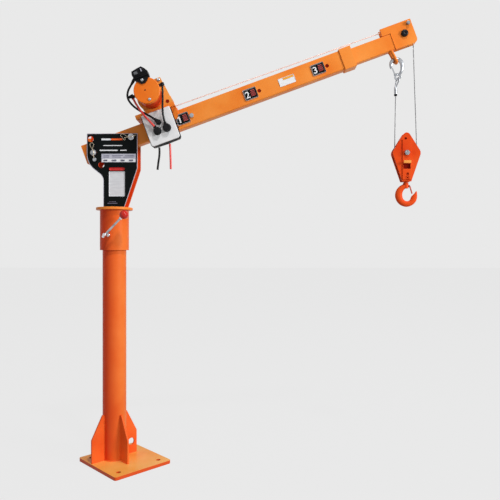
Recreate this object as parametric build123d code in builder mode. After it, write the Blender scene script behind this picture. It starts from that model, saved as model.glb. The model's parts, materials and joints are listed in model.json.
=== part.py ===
from build123d import *
from math import acos, atan2, cos, degrees, hypot, pi, radians, sin, tan
import os

os.makedirs("parts", exist_ok=True)

# Pedestal
PLATE_U = 309
PLATE_V = 342
PLATE_THICK = 16
PLATE_CORNER_R = 12
PLATE_TURN = 45
PLATE_CENTRE = (55, -19.5)
HOLE_EDGE = 44.6
ANCHOR_HOLE_R = 11
COLUMN_R = 57.15
COLUMN_WALL = 5
COLUMN_TOP = 1234
GUSSET_THICK = 8
GUSSET_REACH = 125
GUSSET_REACH_SHORT = 108
GUSSET_EDGE_H = 110
GUSSET_TOP_H = 220
GUSSET_TOP_W = 10
GUSSET_HOLE_R = 18

# Slewing head
COLLAR_R = 69.85
COLLAR_BORE_R = 58.15
COLLAR_BOTTOM = 1039
FLANGE_R = 88.5
FLANGE_THICK = 12
FLANGE_TOP = 1248
HEAD_GAP = 64
HEAD_PLATE_THICK = 6
HEAD_TOP = 1608
HEAD_LEFT = -125.5
HEAD_RIGHT = 122.5
NECK_LEFT = -45.4
NECK_RIGHT = 59
SHOULDER_RIGHT_Z = 1438
SHOULDER_LOW_Z = 1397
SHOULDER_HIGH_Z = 1461.5
WEB_THICK = 6
WEB_TOP = 1535

# Boom position: it stands 20 degrees up at rest and turns on the pivot pin
BOOM_ANGLE = 20
TUBE_V = 2.5
PIVOT_U = 98
BOOM_AXIS_Z = 1556
PIN_R = 14
PIN_GAP = 0.3
POSITION_PIN_R = 199
POSITION_PIN_DROP = 2.6
POSITION_STEP = 20

# Clamp lever
CLAMP_ANGLE = -8
CLAMP_Z = 1112
CLAMP_SCREW_R = 6
CLAMP_BOSS_R = 11
CLAMP_HUB_REACH = 115
CLAMP_HUB_R = 8.5
CLAMP_NUT_R = 9
CLAMP_NUT_REACH = 76
LEVER_LENGTH = 133
LEVER_TAIL = 10
LEVER_ANGLE = 45
LEVER_R = 5
KNOB_R = 21

# Boom tubes
OUTER_H = 95
OUTER_W = 54
OUTER_WALL = 5
OUTER_TAIL_U = -151
OUTER_END_U = 1240
SLEEVE_START_U = 1190
SLEEVE_END_U = 1248
SLEEVE_WALL = 5
INNER_H = 80
INNER_W = 40
INNER_WALL = 4
INNER_TAIL_U = 352
INNER_END_U = 1455
BOLT_U = 410
BOLT_PITCH = 351
BOLT_R = 9
BOLT_HEAD_R = 11.5

# Tip
TIP_START_U = 1414
TIP_END_U = 1571
TIP_TOP_V = 79
TIP_BOTTOM_V = -40
TIP_SEAM = 3
TIP_PLATE_THICK = 7
TIP_AXLE = (1521, 20)
TIP_ROPE_R = 46
TIP_RIM_R = 48.5
TIP_SHEAVE_W = 20
AXLE_R = 10
KEEPER = (1553.5, 60.5)
KEEPER_R = 3
KEEPER_HEAD_R = 8
TIP_CAP_R = 17
TIP_CAP_DEPTH = 7
LUG_TOP_U = 1433
LUG_BAR_R = 7
LUG_HALF_W = 16
LUG_LEAN = 8
LUG_DROP = 61

# Winch
DRUM_U = 258
DRUM_V = 143
DRUM_ROPE_R = 63
DRUM_BARREL_R = 30
DRUM_FLANGE_R = 66
DRUM_HALF_W = 48
FRAME_THICK = 6
BED_START_U = 152
BED_END_U = 352
BED_TOP_V = 72
BED_THICK = 6
BED_HALF_W = 60
BED_LIP_V = 85
SADDLE_START_U = 172
SADDLE_BOTTOM_V = 11
FRAME_EAR = (319.3, 210.8)
FRAME_HOLE = (325, 98)
MOTOR_R = 56
MOTOR_FRONT_Y = -175
CAP_R = 61
CAP_DEPTH = 14
GEARBOX_R = 56
SOCKET_BACK_Y = -142
SOCKET_DEPTH = 46
SOCKET_TAB_Y = -175
SOCKET_TAB_THICK = 4
SOCKET_SEAT_V = 206
TERMINAL_Y = -118
TERMINAL_LEFT = (182, 156)
TERMINAL_RIGHT = (331, 165)

# Control box on the boom's side
BOX_START_U = 182
BOX_END_U = 326
BOX_TOP_V = 65.8
BOX_BOTTOM_V = -92
BOX_BACK_Y = -33.3
BOX_FRONT_Y = -88
BOX_TOP_CORNER_R = 4
BOX_CORNER_R = 12
BOX_EDGE_R = 3

# Rope, hook block and hooks
ROPE_R = 2.4
LEAD_ARC = 16
BLOCK_X = 1433.5
BLOCK_SHEAVE_Z = 1513
BLOCK_ROPE_R = 54.5
BLOCK_RIM_R = 58.5
BLOCK_SHEAVE_W = 22
BLOCK_GAP = 31
CHEEK_THICK = 5
CHEEK_HALF_W = 70.5
CHEEK_APEX_Z = 1628
CHEEK_BOTTOM_Z = 1374
CHEEK_BOTTOM_HALF_W = 22
BLOCK_BOLT_R = 8
STRAP_X = 1432.5
STRAP_HALF_W = 20.5
STRAP_TOP_Z = 1577
STRAP_BOTTOM_Z = 1383
STRAP_THICK = 4
CHEEK_HOLE = (1428, 1583)
WINDOW_HALF_W = 18
WINDOW_TOP_Z = 1461
WINDOW_BOTTOM_Z = 1435
TAB_REACH = 11
TAB_TOP_Z = 1476
SHANK_R = 9.5
HOOK_BOWL = (BLOCK_X + 5, 1306.5)
ANCHOR_BOWL = (1388.5, 1947)
ANCHOR_EYE = (1394, 1888)
FERRULE_TOP_Z = 1838
FERRULE_BOTTOM_Z = 1797
FERRULE_X = 1384

# Cables, as points along the boom, across it and square to it
CABLE_D = 10
SOCKET_CABLE = [
    (216.5, -160, 212), (195, -152, 197), (172, -142, 182), (157, -132, 158), (160, -123, 130),
    (177, -114, 98), (203, -107, 68), (226, -102, 45), (240, -99, 27),
]
LEFT_CABLE = [
    (180, -118, 146), (183, -121, 122), (189, -121, 97), (196, -119, 72), (206, -114, 43),
    (218, -105, 16), (227, -99, -6),
]
RIGHT_CABLE = [
    (330, -118, 154), (323, -116, 134), (312, -112, 104), (295, -107, 62), (284, -102, 28),
    (281, -99, -3),
]
# Battery leads, as points in the row frame
BLACK_LEAD = [
    (233, -62, 1534), (234.5, -62.5, 1518), (233, -62, 1490), (227.5, -61, 1459), (224, -60, 1427),
]
RED_LEAD = [
    (284, -62, 1552), (286, -61.5, 1530), (286.5, -61, 1495), (288, -60.5, 1460), (288, -60, 1430),
]

BOOM_DIR = (cos(radians(BOOM_ANGLE)), 0, sin(radians(BOOM_ANGLE)))
BASE_PLANE = Plane(origin=(*PLATE_CENTRE, 0), x_dir=(1, 1, 0), z_dir=(0, 0, 1))


def level(z):
    """Level plane at height z."""
    return Plane.XY.offset(z)


def upright(y):
    """Plane across the viewer's line at y; a sketch's y is height and it extrudes to the front."""
    return Plane(origin=(0, y, 0), x_dir=(1, 0, 0), z_dir=(0, -1, 0))


def boom_side(y):
    """Plane beside the boom at y; a sketch's x runs along the boom and it extrudes to the front."""
    return Plane(origin=(0, y, BOOM_AXIS_Z), x_dir=BOOM_DIR, z_dir=(0, -1, 0))


def boom_point(u, v, y=0):
    """Point at u along the boom, v square to it and y across it."""
    point = boom_side(y).from_local_coords(Vector(u, v, 0))
    return (point.X, point.Y, point.Z)


def boom_section(u):
    """Plane square to the boom at u; a sketch's y is square to the boom, upwards."""
    return Plane(origin=boom_point(u, 0), x_dir=(0, 1, 0), z_dir=BOOM_DIR)


def tube_section(u):
    """Plane square to the boom at u, with its origin on the tubes' centre line."""
    return Plane(origin=boom_point(u, TUBE_V), x_dir=(0, 1, 0), z_dir=BOOM_DIR)


def boom_route(points):
    """Route points given along the boom, as points of the row frame."""
    return [Vector(*boom_point(u, v, y)) for u, y, v in points]


def radial_plane(angle):
    """Upright plane through the column's axis, its x pointing out at the angle."""
    out = (cos(radians(angle)), sin(radians(angle)), 0)
    side = (sin(radians(angle)), -cos(radians(angle)), 0)
    return Plane(origin=(0, 0, 0), x_dir=out, z_dir=side)


# Base plate
with BuildPart() as base_plate:
    with BuildSketch(BASE_PLANE):
        RectangleRounded(PLATE_U, PLATE_V, PLATE_CORNER_R)
        with GridLocations(PLATE_U - 2 * HOLE_EDGE, PLATE_V - 2 * HOLE_EDGE, 2, 2):
            Circle(ANCHOR_HOLE_R, mode=Mode.SUBTRACT)
    extrude(amount=PLATE_THICK)
base_plate.part.label = "base_plate"
export_step(base_plate.part, "parts/base_plate.step")

# Column
with BuildPart() as column_tube:
    with BuildSketch(level(PLATE_THICK)):
        Circle(COLUMN_R)
    extrude(amount=COLUMN_TOP - PLATE_THICK)
    with BuildSketch(level(PLATE_THICK)):
        Circle(COLUMN_R - COLUMN_WALL)
    extrude(amount=COLUMN_TOP - PLATE_THICK - 8, mode=Mode.SUBTRACT)
column_tube.part.label = "column_tube"
export_step(column_tube.part, "parts/column_tube.step")

# Gussets at the foot; the one under the boom's right has a hole
with BuildPart() as foot_gussets:
    for side, reach, hole_r in (
        (0, GUSSET_REACH, GUSSET_HOLE_R),
        (90, GUSSET_REACH_SHORT, 0),
        (180, GUSSET_REACH, 0),
        (270, GUSSET_REACH, 0),
    ):
        with BuildSketch(radial_plane(PLATE_TURN + side)) as gusset_face:
            Polygon(
                (COLUMN_R - 2, PLATE_THICK),
                (reach, PLATE_THICK),
                (reach, PLATE_THICK + GUSSET_EDGE_H),
                (COLUMN_R + GUSSET_TOP_W, PLATE_THICK + GUSSET_TOP_H),
                (COLUMN_R - 2, PLATE_THICK + GUSSET_TOP_H),
                align=None,
            )
            if hole_r:
                with Locations((93, PLATE_THICK + 57)):
                    Circle(hole_r, mode=Mode.SUBTRACT)
        extrude(amount=GUSSET_THICK / 2, both=True)
    with BuildSketch(level(PLATE_THICK)):
        Circle(COLUMN_R)
    extrude(amount=GUSSET_TOP_H + 1, mode=Mode.SUBTRACT)
foot_gussets.part.label = "foot_gussets"
export_step(foot_gussets.part, "parts/foot_gussets.step")

# Plane square to the clamp screw, its z pointing out of the collar
CLAMP_OUT = (sin(radians(CLAMP_ANGLE)), -cos(radians(CLAMP_ANGLE)), 0)
CLAMP_PLANE = Plane(
    origin=(0, 0, CLAMP_Z),
    x_dir=(cos(radians(CLAMP_ANGLE)), sin(radians(CLAMP_ANGLE)), 0),
    z_dir=CLAMP_OUT,
)

# Collar that turns on the column, with its flange
with BuildPart() as slew_collar:
    with BuildSketch(level(COLLAR_BOTTOM)):
        Circle(COLLAR_R)
        Circle(COLLAR_BORE_R, mode=Mode.SUBTRACT)
    extrude(amount=FLANGE_TOP - FLANGE_THICK - COLLAR_BOTTOM)
    with BuildSketch(CLAMP_PLANE.offset(COLLAR_R - 5)):
        Circle(CLAMP_BOSS_R)
    extrude(amount=9)
    with BuildSketch(CLAMP_PLANE):
        Circle(CLAMP_SCREW_R + PIN_GAP)
    extrude(amount=100, mode=Mode.SUBTRACT)
slew_collar.part.label = "slew_collar"
export_step(slew_collar.part, "parts/slew_collar.step")

with BuildPart() as head_flange:
    with BuildSketch(level(FLANGE_TOP - FLANGE_THICK)):
        Circle(FLANGE_R)
    extrude(amount=FLANGE_THICK)
    fillet(head_flange.edges().filter_by(GeomType.CIRCLE), radius=1.5)
head_flange.part.label = "head_flange"
export_step(head_flange.part, "parts/head_flange.step")

# Side plates of the head, with the row of holes for the position pin
PIVOT = boom_point(PIVOT_U, 0)
LUFF_HOLES = [
    (
        PIVOT[0] - POSITION_PIN_R * cos(radians(POSITION_PIN_DROP + luff)),
        PIVOT[2] - POSITION_PIN_R * sin(radians(POSITION_PIN_DROP + luff)),
    )
    for luff in (0, POSITION_STEP, 2 * POSITION_STEP)
]


def head_outline():
    """Outline of one head plate, with its shoulder as two arcs."""
    with BuildSketch(Plane.XY) as outline:
        Polygon(
            (NECK_LEFT, FLANGE_TOP), (NECK_RIGHT, FLANGE_TOP), (HEAD_RIGHT, SHOULDER_RIGHT_Z),
            (HEAD_RIGHT, HEAD_TOP), (HEAD_LEFT, HEAD_TOP), (HEAD_LEFT, SHOULDER_HIGH_Z),
            (NECK_LEFT, SHOULDER_LOW_Z), align=None,
        )
        corners = outline.vertices()
        fillet(corners.sort_by_distance((NECK_LEFT, SHOULDER_LOW_Z))[0], radius=44)
        corners = outline.vertices()
        fillet(corners.sort_by_distance((HEAD_LEFT, SHOULDER_HIGH_Z))[0], radius=95)
        corners = outline.vertices()
        fillet(corners.sort_by_distance((HEAD_RIGHT, SHOULDER_RIGHT_Z))[0], radius=20)
        with Locations(LUFF_HOLES + [(PIVOT[0], PIVOT[2])]):
            Circle(PIN_R + PIN_GAP, mode=Mode.SUBTRACT)
    return outline.sketch


with BuildPart() as head_plate_front:
    with BuildSketch(upright(-HEAD_GAP / 2)):
        add(head_outline())
    extrude(amount=HEAD_PLATE_THICK)
head_plate_front.part.label = "head_plate_front"
export_step(head_plate_front.part, "parts/head_plate_front.step")

with BuildPart() as head_plate_back:
    with BuildSketch(upright(HEAD_GAP / 2)):
        add(head_outline())
    extrude(amount=-HEAD_PLATE_THICK)
head_plate_back.part.label = "head_plate_back"
export_step(head_plate_back.part, "parts/head_plate_back.step")

# Bent web that closes the head on the boom's side
with BuildPart() as throat_web:
    with BuildSketch(upright(HEAD_GAP / 2)):
        with BuildLine():
            Polyline(
                (NECK_RIGHT - 3, FLANGE_TOP - 9), (HEAD_RIGHT, SHOULDER_RIGHT_Z),
                (HEAD_RIGHT, WEB_TOP),
            )
            offset(amount=WEB_THICK, side=Side.LEFT)
        make_face()
    extrude(amount=HEAD_GAP)
    split(bisect_by=level(FLANGE_TOP), keep=Keep.TOP)
throat_web.part.label = "throat_web"
export_step(throat_web.part, "parts/throat_web.step")

# Pivot pin with its spacers, and the position pin's two ends
with BuildPart() as head_pins:
    pin_half = HEAD_GAP / 2 + HEAD_PLATE_THICK
    with BuildSketch(upright(pin_half + 6)):
        with Locations((PIVOT[0], PIVOT[2])):
            Circle(PIN_R)
    extrude(amount=2 * pin_half + 12)
    for spacer_y in (HEAD_GAP / 2 - PIN_GAP, -OUTER_W / 2 - PIN_GAP):
        with BuildSketch(upright(spacer_y)):
            with Locations((PIVOT[0], PIVOT[2])):
                Circle(PIN_R + 5)
        extrude(amount=(HEAD_GAP - OUTER_W) / 2 - 2 * PIN_GAP)
    for end_y in (pin_half + 8, -HEAD_GAP / 2 - PIN_GAP):
        with BuildSketch(upright(end_y)):
            with Locations(LUFF_HOLES[1]):
                Circle(PIN_R)
        extrude(amount=HEAD_PLATE_THICK + 8 - PIN_GAP)
head_pins.part.label = "head_pins"
export_step(head_pins.part, "parts/head_pins.step")

# Clamp screw with its lever, and the knob on the lever's end
LEVER_DIR = CLAMP_PLANE.x_dir * cos(radians(LEVER_ANGLE)) + Vector(0, 0, sin(radians(LEVER_ANGLE)))
LEVER_PLANE = Plane(
    origin=CLAMP_PLANE.from_local_coords(Vector(0, 0, CLAMP_HUB_REACH)),
    x_dir=CLAMP_OUT, z_dir=LEVER_DIR,
)
with BuildPart() as clamp_screw:
    with BuildSketch(CLAMP_PLANE.offset(COLUMN_R + 0.9)):
        Circle(CLAMP_SCREW_R)
    extrude(amount=CLAMP_HUB_REACH - COLUMN_R)
    with BuildSketch(CLAMP_PLANE.offset(CLAMP_NUT_REACH)):
        Circle(CLAMP_NUT_R)
    extrude(amount=9, taper=20)
    with BuildSketch(CLAMP_PLANE.offset(CLAMP_HUB_REACH - 8)):
        Circle(CLAMP_HUB_R)
    extrude(amount=16)
    with BuildSketch(LEVER_PLANE.offset(-LEVER_TAIL)):
        Circle(LEVER_R)
    extrude(amount=LEVER_LENGTH + LEVER_TAIL - 10)
clamp_screw.part.label = "clamp_screw"
export_step(clamp_screw.part, "parts/clamp_screw.step")

with BuildPart() as clamp_knob:
    with Locations(LEVER_PLANE.offset(LEVER_LENGTH)):
        Sphere(KNOB_R)
    with BuildSketch(LEVER_PLANE.offset(-LEVER_TAIL)):
        Circle(LEVER_R)
    extrude(amount=LEVER_LENGTH + LEVER_TAIL - 10, mode=Mode.SUBTRACT)
clamp_knob.part.label = "clamp_knob"
export_step(clamp_knob.part, "parts/clamp_knob.step")

# Outer boom tube with its pin and bolt holes
POSITION_PIN_UV = (
    PIVOT_U - POSITION_PIN_R * cos(radians(POSITION_PIN_DROP)),
    -POSITION_PIN_R * sin(radians(POSITION_PIN_DROP)),
)
with BuildPart() as boom_tube:
    with BuildSketch(tube_section(OUTER_TAIL_U)):
        RectangleRounded(OUTER_W, OUTER_H, 7)
        RectangleRounded(OUTER_W - 2 * OUTER_WALL, OUTER_H - 2 * OUTER_WALL, 2, mode=Mode.SUBTRACT)
    extrude(amount=OUTER_END_U - OUTER_TAIL_U)
    with BuildSketch(boom_side(OUTER_W)):
        with Locations((PIVOT_U, 0), POSITION_PIN_UV):
            Circle(PIN_R + PIN_GAP)
        with Locations([(BOLT_U + step * BOLT_PITCH, 0) for step in range(3)]):
            Circle(BOLT_R)
    extrude(amount=2 * OUTER_W, mode=Mode.SUBTRACT)
boom_tube.part.label = "boom_tube"
export_step(boom_tube.part, "parts/boom_tube.step")

# Sleeve round the outer tube's open end
with BuildPart() as boom_sleeve:
    with BuildSketch(tube_section(SLEEVE_START_U)):
        RectangleRounded(OUTER_W + 2 * SLEEVE_WALL, OUTER_H + 2 * SLEEVE_WALL, 3)
    extrude(amount=SLEEVE_END_U - SLEEVE_START_U)
    with BuildSketch(tube_section(SLEEVE_START_U - 5)):
        RectangleRounded(OUTER_W, OUTER_H, 7)
    extrude(amount=OUTER_END_U - SLEEVE_START_U + 5, mode=Mode.SUBTRACT)
    with BuildSketch(tube_section(SLEEVE_START_U - 5)):
        RectangleRounded(OUTER_W - 2 * OUTER_WALL, OUTER_H - 2 * OUTER_WALL, 2)
    extrude(amount=SLEEVE_END_U - SLEEVE_START_U + 10, mode=Mode.SUBTRACT)
boom_sleeve.part.label = "boom_sleeve"
export_step(boom_sleeve.part, "parts/boom_sleeve.step")

# The extension's lock bolt, as its two ends in the outer tube's walls
with BuildPart() as lock_bolt:
    for head_y, length in ((-OUTER_W / 2, 7), (OUTER_W / 2 + 7, 7)):
        with BuildSketch(boom_side(head_y)):
            with Locations((BOLT_U, 0)):
                RegularPolygon(BOLT_HEAD_R, 6)
        extrude(amount=length)
    for shank_y in (OUTER_W / 2, -OUTER_W / 2 + OUTER_WALL):
        with BuildSketch(boom_side(shank_y)):
            with Locations((BOLT_U, 0)):
                Circle(BOLT_R - 0.1)
        extrude(amount=OUTER_WALL)
lock_bolt.part.label = "lock_bolt"
export_step(lock_bolt.part, "parts/lock_bolt.step")

# Winch bed: a tray with low walls, on a saddle over the boom
with BuildPart() as winch_bed:
    with BuildSketch(boom_section(BED_START_U)):
        with Locations((0, (BED_TOP_V - BED_THICK + BED_LIP_V) / 2)):
            Rectangle(2 * BED_HALF_W, BED_LIP_V - BED_TOP_V + BED_THICK)
        with Locations((0, (BED_TOP_V + BED_LIP_V) / 2)):
            Rectangle(2 * BED_HALF_W - 7, BED_LIP_V - BED_TOP_V, mode=Mode.SUBTRACT)
    extrude(amount=BED_END_U - BED_START_U)
    with BuildSketch(boom_section(BED_START_U)):
        with Locations((0, (BED_TOP_V + BED_LIP_V) / 2)):
            Rectangle(2 * BED_HALF_W, BED_LIP_V - BED_TOP_V)
    extrude(amount=5)
    for cheek_y in (OUTER_W / 2 + BED_THICK, -OUTER_W / 2 - 0.2):
        with BuildSketch(boom_side(cheek_y)):
            Polygon(
                (SADDLE_START_U, BED_TOP_V - 3), (SADDLE_START_U, SADDLE_BOTTOM_V + 16),
                (SADDLE_START_U + 12, SADDLE_BOTTOM_V), (BED_END_U - 12, SADDLE_BOTTOM_V),
                (BED_END_U, SADDLE_BOTTOM_V + 24), (BED_END_U, BED_TOP_V - 3), align=None,
            )
        extrude(amount=BED_THICK - 0.2)
    for rib_u in (SADDLE_START_U + 4, BED_END_U - 10):
        with BuildSketch(boom_section(rib_u)):
            with Locations((0, (OUTER_H / 2 + TUBE_V + BED_TOP_V - 3) / 2)):
                Rectangle(OUTER_W + 2, BED_TOP_V - 3 - OUTER_H / 2 - TUBE_V)
        extrude(amount=6)
winch_bed.part.label = "winch_bed"
export_step(winch_bed.part, "parts/winch_bed.step")

# Winch frame: two side plates tied by round bars
with BuildPart() as winch_frame:
    for plate_y in (DRUM_HALF_W + 2 + FRAME_THICK, -DRUM_HALF_W - 2):
        with BuildSketch(boom_side(plate_y)):
            with Locations((DRUM_U, DRUM_V)):
                Circle(70)
            Polygon(
                (DRUM_U - 62, BED_TOP_V), (349, BED_TOP_V), (333, 203), (330, 221), (306, 221),
                (DRUM_U, DRUM_V + 70), align=None,
            )
            with Locations(FRAME_HOLE):
                Circle(6, mode=Mode.SUBTRACT)
        extrude(amount=FRAME_THICK)
    with BuildSketch(boom_side(DRUM_HALF_W + 2)):
        with Locations(FRAME_EAR, (342, 116)):
            Circle(5.5)
    extrude(amount=2 * DRUM_HALF_W + 4)
winch_frame.part.label = "winch_frame"
export_step(winch_frame.part, "parts/winch_frame.step")

# Drum and the rope wound on it
with BuildPart() as winch_drum:
    with BuildSketch(boom_side(DRUM_HALF_W)):
        with Locations((DRUM_U, DRUM_V)):
            Circle(DRUM_FLANGE_R)
    extrude(amount=2 * DRUM_HALF_W)
    with BuildSketch(boom_side(DRUM_HALF_W - 4)):
        with Locations((DRUM_U, DRUM_V)):
            Circle(DRUM_FLANGE_R)
            Circle(DRUM_BARREL_R, mode=Mode.SUBTRACT)
    extrude(amount=2 * DRUM_HALF_W - 8, mode=Mode.SUBTRACT)
winch_drum.part.label = "winch_drum"
export_step(winch_drum.part, "parts/winch_drum.step")

with BuildPart() as wound_rope:
    with BuildSketch(boom_side(DRUM_HALF_W - 4.3)):
        with Locations((DRUM_U, DRUM_V)):
            Circle(DRUM_ROPE_R - ROPE_R - 0.3)
            Circle(DRUM_BARREL_R, mode=Mode.SUBTRACT)
    extrude(amount=2 * DRUM_HALF_W - 8.6)
wound_rope.part.label = "wound_rope"
export_step(wound_rope.part, "parts/wound_rope.step")

# Motor in front of the frame, with its round end cap
with BuildPart() as winch_motor:
    motor_back_y = -DRUM_HALF_W - 2 - FRAME_THICK
    with BuildSketch(boom_side(motor_back_y)):
        with Locations((DRUM_U, DRUM_V)):
            Circle(MOTOR_R)
    extrude(amount=motor_back_y - MOTOR_FRONT_Y - 2)
    with BuildSketch(boom_side(MOTOR_FRONT_Y + CAP_DEPTH)):
        with Locations((DRUM_U, DRUM_V)):
            Circle(CAP_R)
    extrude(amount=CAP_DEPTH)
    cap_edges = winch_motor.edges().filter_by(GeomType.CIRCLE).group_by(Axis.Y)[0]
    fillet(cap_edges, radius=3)
winch_motor.part.label = "winch_motor"
export_step(winch_motor.part, "parts/winch_motor.step")

# Gearbox behind the frame, stepped down to the clutch knob
with BuildPart() as winch_gearbox:
    gearbox_y = DRUM_HALF_W + 2 + FRAME_THICK
    for start_y, length, radius in ((gearbox_y, 36, GEARBOX_R), (gearbox_y + 36, 14, 46),
                                    (gearbox_y + 50, 18, 15)):
        with BuildSketch(boom_side(start_y)):
            with Locations((DRUM_U, DRUM_V)):
                Circle(radius)
        extrude(amount=-length)
winch_gearbox.part.label = "winch_gearbox"
export_step(winch_gearbox.part, "parts/winch_gearbox.step")

# Receiver socket on the motor's top, with its tab over the end cap
with BuildPart() as socket_box:
    with BuildSketch(boom_side(SOCKET_BACK_Y)) as socket_face:
        Polygon(
            (222, SOCKET_SEAT_V), (218.5, 227), (222, 243), (252, 249), (271.5, 251.5),
            (284, 238), (293.5, 223.5), (292, SOCKET_SEAT_V), align=None,
        )
        fillet(socket_face.vertices().group_by(Axis.Y)[-1], radius=3)
    extrude(amount=SOCKET_DEPTH)
    with BuildSketch(boom_side(SOCKET_BACK_Y)):
        Polygon(
            (228, SOCKET_SEAT_V + 1), (228, 190), (286, 190), (286, SOCKET_SEAT_V + 1), align=None,
        )
        with Locations((DRUM_U, DRUM_V)):
            Circle(MOTOR_R, mode=Mode.SUBTRACT)
    extrude(amount=MOTOR_FRONT_Y + CAP_DEPTH - SOCKET_BACK_Y + 0.3)
    with BuildSketch(boom_side(SOCKET_TAB_Y - 0.2)):
        Polygon(
            (222, SOCKET_SEAT_V + 4), (222, 203), (240, 185), (248, 175.5), (264, 176),
            (277, 184), (291, 200), (291, SOCKET_SEAT_V + 4), align=None,
        )
    extrude(amount=SOCKET_TAB_THICK)
    mouth, inner = boom_route(SOCKET_CABLE)[:2]
    with BuildSketch(Plane(origin=mouth, z_dir=mouth - inner)):
        Circle(CABLE_D / 2 + 2)
    extrude(amount=12)
socket_box.part.label = "socket_box"
export_step(socket_box.part, "parts/socket_box.step")

# Control box, its lower corners rounder than its upper ones
with BuildPart() as control_box:
    with BuildSketch(boom_side(BOX_BACK_Y)) as box_face:
        with Locations(((BOX_START_U + BOX_END_U) / 2, (BOX_TOP_V + BOX_BOTTOM_V) / 2)):
            Rectangle(BOX_END_U - BOX_START_U, BOX_TOP_V - BOX_BOTTOM_V)
        fillet(box_face.vertices().group_by(Axis.Y)[0], radius=BOX_CORNER_R)
        fillet(box_face.vertices().group_by(Axis.Y)[-1], radius=BOX_TOP_CORNER_R)
    extrude(amount=BOX_BACK_Y - BOX_FRONT_Y)
    fillet(control_box.faces().sort_by(Axis.Y)[0].edges(), radius=BOX_EDGE_R)
control_box.part.label = "control_box"
export_step(control_box.part, "parts/control_box.step")

# Rubber boots over the studs, each with a sleeve along its cable
BOOTS = [
    (SOCKET_CABLE, (252, 8), 11),
    (LEFT_CABLE, (233, -30), 17),
    (RIGHT_CABLE, (281, -30), 18),
]
with BuildPart() as cable_boots:
    for route, stud, radius in BOOTS:
        with BuildSketch(boom_side(BOX_FRONT_Y)):
            with Locations(stud):
                Circle(radius)
        extrude(amount=17)
        inner, mouth = boom_route(route)[-2:]
        root = Vector(*boom_point(stud[0], stud[1], route[-1][1]))
        with BuildSketch(Plane(origin=mouth, z_dir=mouth - inner)):
            Circle(CABLE_D / 2 + 2.5)
        extrude(amount=0.75 * (root - mouth).length)
    for route, stud in ((LEFT_CABLE, TERMINAL_LEFT), (RIGHT_CABLE, TERMINAL_RIGHT)):
        mouth, inner = boom_route(route)[:2]
        root = Vector(*boom_point(stud[0], stud[1], TERMINAL_Y))
        with BuildSketch(Plane(origin=mouth, z_dir=mouth - inner)):
            Circle(CABLE_D / 2 + 2.5)
        extrude(amount=(root - mouth).length + 6)
        shell = Vector(*boom_point(DRUM_U, DRUM_V, TERMINAL_Y))
        reach = (root - shell).length - MOTOR_R
        with BuildSketch(Plane(origin=root, z_dir=shell - root)):
            Circle(7)
        extrude(amount=reach)
cable_boots.part.label = "cable_boots"
export_step(cable_boots.part, "parts/cable_boots.step")


def cord_tube(points, radius, label):
    """Tube along straight runs and tangent arcs, as large as the runs allow; prints its radii."""
    runs = [(b - a) for a, b in zip(points, points[1:])]
    radii = []
    for before, after in zip(runs, runs[1:]):
        turn = radians(before.get_angle(after))
        radii.append(0.45 * min(before.length, after.length) / tan(turn / 2))
    with BuildPart() as tube:
        with BuildLine() as path:
            FilletPolyline(*points, radius=radii)
        with BuildSketch(Plane(origin=path.line @ 0, z_dir=path.line % 0)):
            Circle(radius)
        sweep()
    length = path.wires()[0].length
    expected = pi * radius**2 * length
    print(label, "radii", [round(r) for r in radii], "length", round(length, 1),
          "volume ratio", round(tube.part.volume / expected, 4))
    tube.part.label = label
    return tube


# Cables between the socket, the motor's studs and the box, and the two battery leads
socket_cable = cord_tube(boom_route(SOCKET_CABLE), CABLE_D / 2, "socket_cable")
export_step(socket_cable.part, "parts/socket_cable.step")
motor_cable_left = cord_tube(boom_route(LEFT_CABLE), CABLE_D / 2, "motor_cable_left")
export_step(motor_cable_left.part, "parts/motor_cable_left.step")
motor_cable_right = cord_tube(boom_route(RIGHT_CABLE), CABLE_D / 2, "motor_cable_right")
export_step(motor_cable_right.part, "parts/motor_cable_right.step")
battery_lead_black = cord_tube([Vector(*p) for p in BLACK_LEAD], CABLE_D / 2, "battery_lead_black")
export_step(battery_lead_black.part, "parts/battery_lead_black.step")
battery_lead_red = cord_tube([Vector(*p) for p in RED_LEAD], CABLE_D / 2, "battery_lead_red")
export_step(battery_lead_red.part, "parts/battery_lead_red.step")

# Inner tube of the extension
with BuildPart() as extension_tube:
    with BuildSketch(tube_section(INNER_TAIL_U)):
        RectangleRounded(INNER_W, INNER_H, 6)
        RectangleRounded(INNER_W - 2 * INNER_WALL, INNER_H - 2 * INNER_WALL, 2, mode=Mode.SUBTRACT)
    extrude(amount=INNER_END_U - INNER_TAIL_U)
    with BuildSketch(boom_side(INNER_W)):
        with Locations((BOLT_U, 0)):
            Circle(BOLT_R)
    extrude(amount=2 * INNER_W, mode=Mode.SUBTRACT)
extension_tube.part.label = "extension_tube"
export_step(extension_tube.part, "parts/extension_tube.step")

# Tip plates, flush with the inner tube's sides, notched over its end
with BuildPart() as tip_plates:
    for plate_y in (INNER_W / 2, -INNER_W / 2 + TIP_PLATE_THICK):
        with BuildSketch(boom_side(plate_y)) as tip_face:
            Polygon(
                (TIP_START_U, TIP_TOP_V), (TIP_START_U, INNER_H / 2 + TUBE_V),
                (INNER_END_U + TIP_SEAM, INNER_H / 2 + TUBE_V),
                (INNER_END_U + TIP_SEAM, TIP_BOTTOM_V),
                (TIP_END_U, TIP_BOTTOM_V), (TIP_END_U, TIP_TOP_V), align=None,
            )
            corner = tip_face.vertices().sort_by_distance((TIP_END_U, TIP_BOTTOM_V))[0]
            fillet(corner, radius=20)
            corner = tip_face.vertices().sort_by_distance((TIP_END_U, TIP_TOP_V))[0]
            fillet(corner, radius=5)
            with Locations(TIP_AXLE):
                Circle(AXLE_R, mode=Mode.SUBTRACT)
            with Locations(KEEPER):
                Circle(KEEPER_R, mode=Mode.SUBTRACT)
        extrude(amount=TIP_PLATE_THICK)
tip_plates.part.label = "tip_plates"
export_step(tip_plates.part, "parts/tip_plates.step")


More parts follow.
